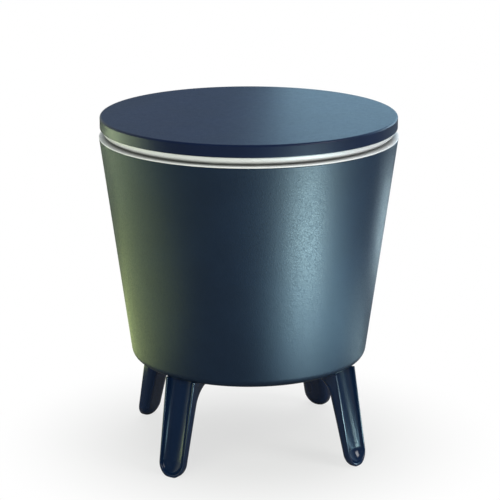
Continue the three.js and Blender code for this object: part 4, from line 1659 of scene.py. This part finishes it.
class ScrewTree:
    """A geometry node tree that puts a screw on every point of a mesh."""

    # Each slice of the head: its two radii as shares of the head's, then its depth and the height
    # of its outer side as shares of the head's height.
    head_slices: tuple[tuple[float, float, float, float], ...] = (
        (1.0, 0.96, 0.3, 0.3), (0.96, 0.62, 0.5, 0.8), (0.62, 0.5, 0.2, 1.0))
    socket_share: float = 0.36
    socket_depth: float = 1.3
    socket_top: float = 1.05
    core_share: float = 0.86
    crest_share: float = 0.84
    wire_share: float = 0.16
    threaded_share: float = 0.88
    turns: float = 9.0

    def __init__(self) -> None:
        """Builds the tree, with the screw's sizes as inputs."""
        sheet = GeometrySheet("screw_set")
        self.sheet = sheet
        head = sheet.value("Head Radius")
        rise = sheet.value("Head Height")
        shank = sheet.value("Shank Radius")
        length = sheet.value("Shank Length")
        tilt = sheet.value("Turn Over")
        slices = [self.cone(head * inner, head * outer, rise * deep, rise * -top)
                  for inner, outer, deep, top in self.head_slices]
        socket = sheet.signal("GeometryNodeMeshCylinder", {"fill_type": "NGON"}, {
            "Vertices": 6, "Radius": head * self.socket_share, "Depth": rise * self.socket_depth})
        socket = self.moved(socket, rise * -self.socket_top)
        drilled = sheet.node("GeometryNodeMeshBoolean",
                             {"operation": "DIFFERENCE", "solver": "EXACT"},
                             {"Mesh 1": self.joined(slices)})
        sheet.tree.links.new(socket.socket, drilled.inputs["Mesh 2"])
        bar = sheet.signal("GeometryNodeMeshCylinder", {"fill_type": "NGON"}, {
            "Vertices": 20, "Radius": shank * self.core_share, "Depth": length})
        bar = self.moved(bar, length * 0.5)
        spiral = sheet.signal("GeometryNodeCurveSpiral", inputs={
            "Resolution": 16, "Rotations": self.turns, "Start Radius": shank * self.crest_share,
            "End Radius": shank * self.crest_share, "Height": length * self.threaded_share})
        wire = sheet.signal("GeometryNodeCurvePrimitiveCircle", {"mode": "RADIUS"},
                            {"Resolution": 3, "Radius": shank * self.wire_share})
        thread = sheet.signal("GeometryNodeCurveToMesh", inputs={
            "Curve": spiral, "Profile Curve": wire, "Fill Caps": True})
        thread = self.moved(thread, length * ((1 - self.threaded_share) / 2))
        whole = self.joined([Signal(sheet, drilled.outputs[0]), bar, thread])
        over = sheet.signal("FunctionNodeAxisAngleToRotation",
                            inputs={"Axis": (1.0, 0.0, 0.0), "Angle": tilt})
        screws = sheet.signal("GeometryNodeInstanceOnPoints", inputs={
            "Points": sheet.entry.outputs["Geometry"], "Instance": whole, "Rotation": over})
        sheet.close(screws)

    def cone(self, low: Signal, high: Signal, depth: Signal, top: Signal) -> Signal:
        """A slice of the head, wide towards its bearing face.

        Args:
            low: its radius at the bearing side.
            high: its radius at the outer side.
            depth: how deep the slice is.
            top: the height of its outer side.

        Returns:
            The slice.
        """
        slice_ = self.sheet.signal("GeometryNodeMeshCone", {"fill_type": "NGON"}, {
            "Vertices": 36, "Radius Top": low, "Radius Bottom": high, "Depth": depth})
        return self.moved(slice_, top)

    def moved(self, shape: Signal, height: Signal) -> Signal:
        """A shape moved along Z."""
        offset = self.sheet.signal("ShaderNodeCombineXYZ", inputs={"Z": height})
        return self.sheet.signal("GeometryNodeTransform",
                                 inputs={"Geometry": shape, "Translation": offset})

    def joined(self, shapes: Sequence[Signal]) -> Signal:
        """Joins shapes.

        Args:
            shapes: the shapes.

        Returns:
            One geometry.
        """
        join = self.sheet.node("GeometryNodeJoinGeometry")
        for shape in shapes:
            self.sheet.tree.links.new(shape.socket, join.inputs[0])
        return Signal(self.sheet, join.outputs[0])


@dataclass
class Screws(Assembly):
    """All the screws, a mesh for each set."""

    sets: tuple[ScrewSet, ...] = (
        TRAY_SCREWS, COLUMN_SCREWS, COLLAR_SCREWS, GUIDE_SCREWS, LEG_SCREWS)

    def build(self) -> list[Piece]:
        """Runs the screw tree once for each set.

        Returns:
            The sets.
        """
        tree = ScrewTree()
        pieces = []
        for screws in self.sets:
            seed = mesh_of([(x, y, screws.seat) for x, y in screws.places], [])
            values = {"Head Radius": screws.head * MM, "Head Height": screws.rise * MM,
                      "Shank Radius": screws.shank * MM, "Shank Length": screws.length * MM,
                      "Turn Over": math.pi if screws.heads_up else 0.0}
            mesh = tree.sheet.run(seed, SCREW_STEEL.material(), values)
            pieces.append(Piece(screws.name, mesh, screws.body, SCREW_STEEL, screws.nodes))
        return pieces


# Studio


def heading(azimuth: float, elevation: float) -> Vector:
    """Turns two angles in degrees into a direction.

    Args:
        azimuth: the angle from the front towards the right.
        elevation: the angle above the floor.

    Returns:
        The direction.
    """
    a, e = math.radians(azimuth), math.radians(elevation)
    return Vector((math.sin(a) * math.cos(e), -math.cos(a) * math.cos(e), math.sin(e)))


class Reach(Enum):
    """Which rays a lamp takes part in."""

    ALL = "all"
    DIFFUSE = "diffuse"
    GLOSSY = "glossy"


class Facing(Enum):
    """Which way a lamp shines."""

    OBJECT = "object"
    UP = "up"


@dataclass(frozen=True)
class Softbox:
    """An area lamp that stands and faces the object, or lies on the floor and faces up."""

    name: str
    azimuth: float  # degrees from the front towards the right
    radius: float  # from the column
    height: float
    width: float
    length: float
    power: float
    colour: Triple = (1.0, 1.0, 1.0)
    reach: Reach = Reach.ALL
    facing: Facing = Facing.OBJECT
    aim: Triple = (0.0, 0.0, 0.3)

    def make(self) -> bpy.types.Object:
        """Adds the lamp.

        Returns:
            The lamp.
        """
        data = bpy.data.lights.new(self.name, "AREA")
        data.shape = "RECTANGLE"
        data.size, data.size_y = self.width, self.length
        data.energy = self.power
        data.color = self.colour
        lamp = linked(self.name, data)
        lamp.location = heading(self.azimuth, 0) * self.radius + Vector((0, 0, self.height))
        if self.facing is Facing.UP:
            lamp.rotation_euler = (math.pi, 0.0, math.radians(self.azimuth))
        else:
            away = lamp.location - Vector(self.aim)
            lamp.rotation_euler = away.to_track_quat("Z", "Y").to_euler()
        lamp.visible_camera = False
        lamp.visible_diffuse = self.reach is not Reach.GLOSSY
        lamp.visible_glossy = self.reach is not Reach.DIFFUSE
        return lamp


@dataclass(frozen=True)
class Card:
    """A soft patch of the room, which glossy surfaces show."""

    azimuth: float
    elevation: float
    full: float  # cosine of the angle inside which it is at full strength
    end: float  # cosine of the angle at which it ends
    colour: Colour

    def shine(self, sheet: NodeSheet, way: Signal) -> Signal:
        """Shows the card.

        Args:
            sheet: the world's tree.
            way: the direction that is looked in.

        Returns:
            The card's colour there.
        """
        axis = tuple(heading(self.azimuth, self.elevation))
        along = sheet.signal("ShaderNodeVectorMath", {"operation": "DOT_PRODUCT"},
                             {0: way, 1: axis}, "Value")
        black = (0.0, 0.0, 0.0, 1.0)
        return Finish.mixed(sheet, along.ramp(self.end, self.full), black, self.colour)


@dataclass
class Studio:
    """The floor, the lamps, the world and the camera."""

    floor_size: float = 14.0
    floor_colour: int = 0xC2C4C2
    floor_roughness: float = 0.7
    floor_lift: float = 0.66  # the camera's share of white under the object
    lift_range: Pair = (0.12, 0.46)  # metres over which that grows to one
    floor_dim: float = 0.4  # the floor's share that glossy surfaces show
    glow: float = 0.5  # the white that they see in the floor far out
    glow_range: Pair = (3.0, 7.0)
    ambient: float = 0.36
    dim_room: Triple = (0.05, 0.065, 0.085)
    lens: float = 148.38
    camera_place: Triple = (-0.5778, -3.3155, 1.2527)
    aim: Triple = (0.0, 0.0, 0.3036)
    shift: Pair = (0.0024, 0.0394)
    lamps: tuple[Softbox, ...] = (
        Softbox("key_softbox", 48, 2.2, 1.7, 1.0, 1.6, 28),
        Softbox("top_softbox", 165, 1.2, 2.6, 1.8, 1.8, 30, reach=Reach.DIFFUSE),
        Softbox("front_fill", -28, 2.9, 1.6, 2.0, 1.5, 42, (0.96, 1.0, 0.86), Reach.DIFFUSE),
        Softbox("rim_softbox", 142, 0.95, 0.86, 0.9, 0.4, 2.0, (0.48, 0.82, 1.0), Reach.GLOSSY,
                aim=(0.0, 0.0, 0.57)),
        Softbox("leg_strip", 125, 1.0, 0.11, 0.16, 0.2, 0.9, (0.68, 0.92, 1.0), Reach.GLOSSY),
        Softbox("band_card", 35, 1.02, 0.012, 0.38, 0.6, 35, (0.67, 0.97, 0.98), Reach.GLOSSY,
                Facing.UP),
        Softbox("wide_card", 42, 0.66, 0.01, 0.8, 0.45, 9, (0.45, 0.82, 1.0), Reach.GLOSSY,
                Facing.UP),
        Softbox("side_card", 96, 0.62, 0.01, 0.3, 0.35, 1.0, (0.60, 0.90, 1.0), Reach.GLOSSY,
                Facing.UP),
        Softbox("left_card", -112, 0.85, 0.01, 1.2, 0.9, 7, (0.80, 1.0, 0.36), Reach.GLOSSY,
                Facing.UP),
        Softbox("far_left_card", -117, 2.8, 0.01, 2.4, 1.8, 110, (0.80, 1.0, 0.56),
                Reach.GLOSSY, Facing.UP),
    )
    cards: tuple[Card, ...] = (
        Card(-134, 3, 0.93, 0.44, (0.50, 0.52, 0.38, 1.0)),
        Card(170, 20, 0.9, 0.2, (0.10, 0.16, 0.26, 1.0)),
        Card(118, 5, 0.93, 0.62, (0.26, 0.41, 0.54, 1.0)),
        Card(126, 4, 0.985, 0.93, (2.4, 3.4, 4.0, 1.0)),
    )

    def floor(self) -> bpy.types.Object:
        """Lays the pale floor, which keeps shadows and fades to white far out.

        Returns:
            The floor.
        """
        half = self.floor_size / 2
        mesh = bpy.data.meshes.new("studio_floor")
        mesh.from_pydata([(-half, -half, 0), (half, -half, 0), (half, half, 0), (-half, half, 0)],
                         [], [(0, 1, 2, 3)])
        made = linked("studio_floor", mesh)
        mat = bpy.data.materials.new("studio_floor")
        mat.use_nodes = True
        sheet = NodeSheet(mat.node_tree)
        shader = mat.node_tree.nodes["Principled BSDF"]
        shader.inputs["Roughness"].default_value = self.floor_roughness
        shader.inputs["Specular IOR Level"].default_value = 0.0
        spot = sheet.signal("ShaderNodeTexCoord", output="Object")
        far = sheet.signal("ShaderNodeVectorMath", {"operation": "LENGTH"}, {0: spot}, "Value")
        white = sheet.signal("ShaderNodeEmission", inputs={"Strength": 1.0})
        camera, mirrored = self.rays(sheet)
        pale = linear(self.floor_colour)
        dim = (pale[0] * self.floor_dim,) * 3 + (1.0,)
        sheet.tree.links.new(Finish.mixed(sheet, mirrored, pale, dim).socket,
                             shader.inputs["Base Color"])
        seen = camera * far.ramp(*self.lift_range, self.floor_lift, 1.0)
        shown = seen.peak(mirrored * far.ramp(*self.glow_range, 0.0, self.glow))
        mix = sheet.signal("ShaderNodeMixShader", inputs={
            0: shown, 1: shader.outputs[0], 2: white})
        end = mat.node_tree.nodes["Material Output"]
        sheet.tree.links.new(mix.socket, end.inputs["Surface"])
        mesh.materials.append(mat)
        return made

    @staticmethod
    def rays(sheet: NodeSheet) -> tuple[Signal, Signal]:
        """Tells rays apart.

        Args:
            sheet: the tree that asks.

        Returns:
            One for camera rays, and one for rays that gloss or glass sends on.
        """
        path = sheet.node("ShaderNodeLightPath")
        glossy = Signal(sheet, path.outputs["Is Glossy Ray"])
        through = Signal(sheet, path.outputs["Is Transmission Ray"])
        return Signal(sheet, path.outputs["Is Camera Ray"]), glossy.peak(through)

    def world(self) -> None:
        """A white backdrop, an even light for diffuse surfaces and cards for glossy ones."""
        world = bpy.data.worlds.new("studio")
        bpy.context.scene.world = world
        world.use_nodes = True
        sheet = NodeSheet(world.node_tree)
        back = world.node_tree.nodes["Background"]
        camera, mirrored = self.rays(sheet)
        way = sheet.signal("ShaderNodeTexCoord", output="Generated")
        room = self.cards[0].shine(sheet, way)
        for card in self.cards[1:]:
            room = room + card.shine(sheet, way)
        room = room + (*self.dim_room, 1.0)
        even = (self.ambient, self.ambient, self.ambient, 1.0)
        lit = Finish.mixed(sheet, mirrored, even, room)
        shown = Finish.mixed(sheet, camera, lit, (1.0, 1.0, 1.0, 1.0))
        sheet.tree.links.new(shown.socket, back.inputs["Color"])
        back.inputs["Strength"].default_value = 1.0

    def camera(self) -> bpy.types.Object:
        """Puts up the camera at the photograph's viewing angle.

        Returns:
            The camera.
        """
        data = bpy.data.cameras.new("camera")
        data.lens = self.lens
        data.shift_x, data.shift_y = self.shift
        camera = linked("camera", data)
        place, aim = Vector(self.camera_place), Vector(self.aim)
        camera.location = place
        camera.rotation_euler = (place - aim).to_track_quat("Z", "Y").to_euler()
        bpy.context.scene.camera = camera
        return camera

    def build(self) -> None:
        """Sets up everything round the object."""
        self.camera()
        self.floor()
        self.world()
        for lamp in self.lamps:
            lamp.make()
        bpy.context.scene.view_settings.view_transform = "Standard"


def main() -> None:
    """Builds the table and the studio."""
    logging.basicConfig(level=logging.INFO, format="%(message)s")
    ribs = RibFan()
    for assembly in (Tub(ribs), Lid(ribs), Lift(ribs), Guide(), Drain(), Legs(), Screws()):
        for piece in assembly.build():
            made = piece.place()
            LOG.info("%s: %d faces on %s", made.name, len(made.data.polygons), piece.body.value)
    Studio().build()


if __name__ == "__main__":
    main()
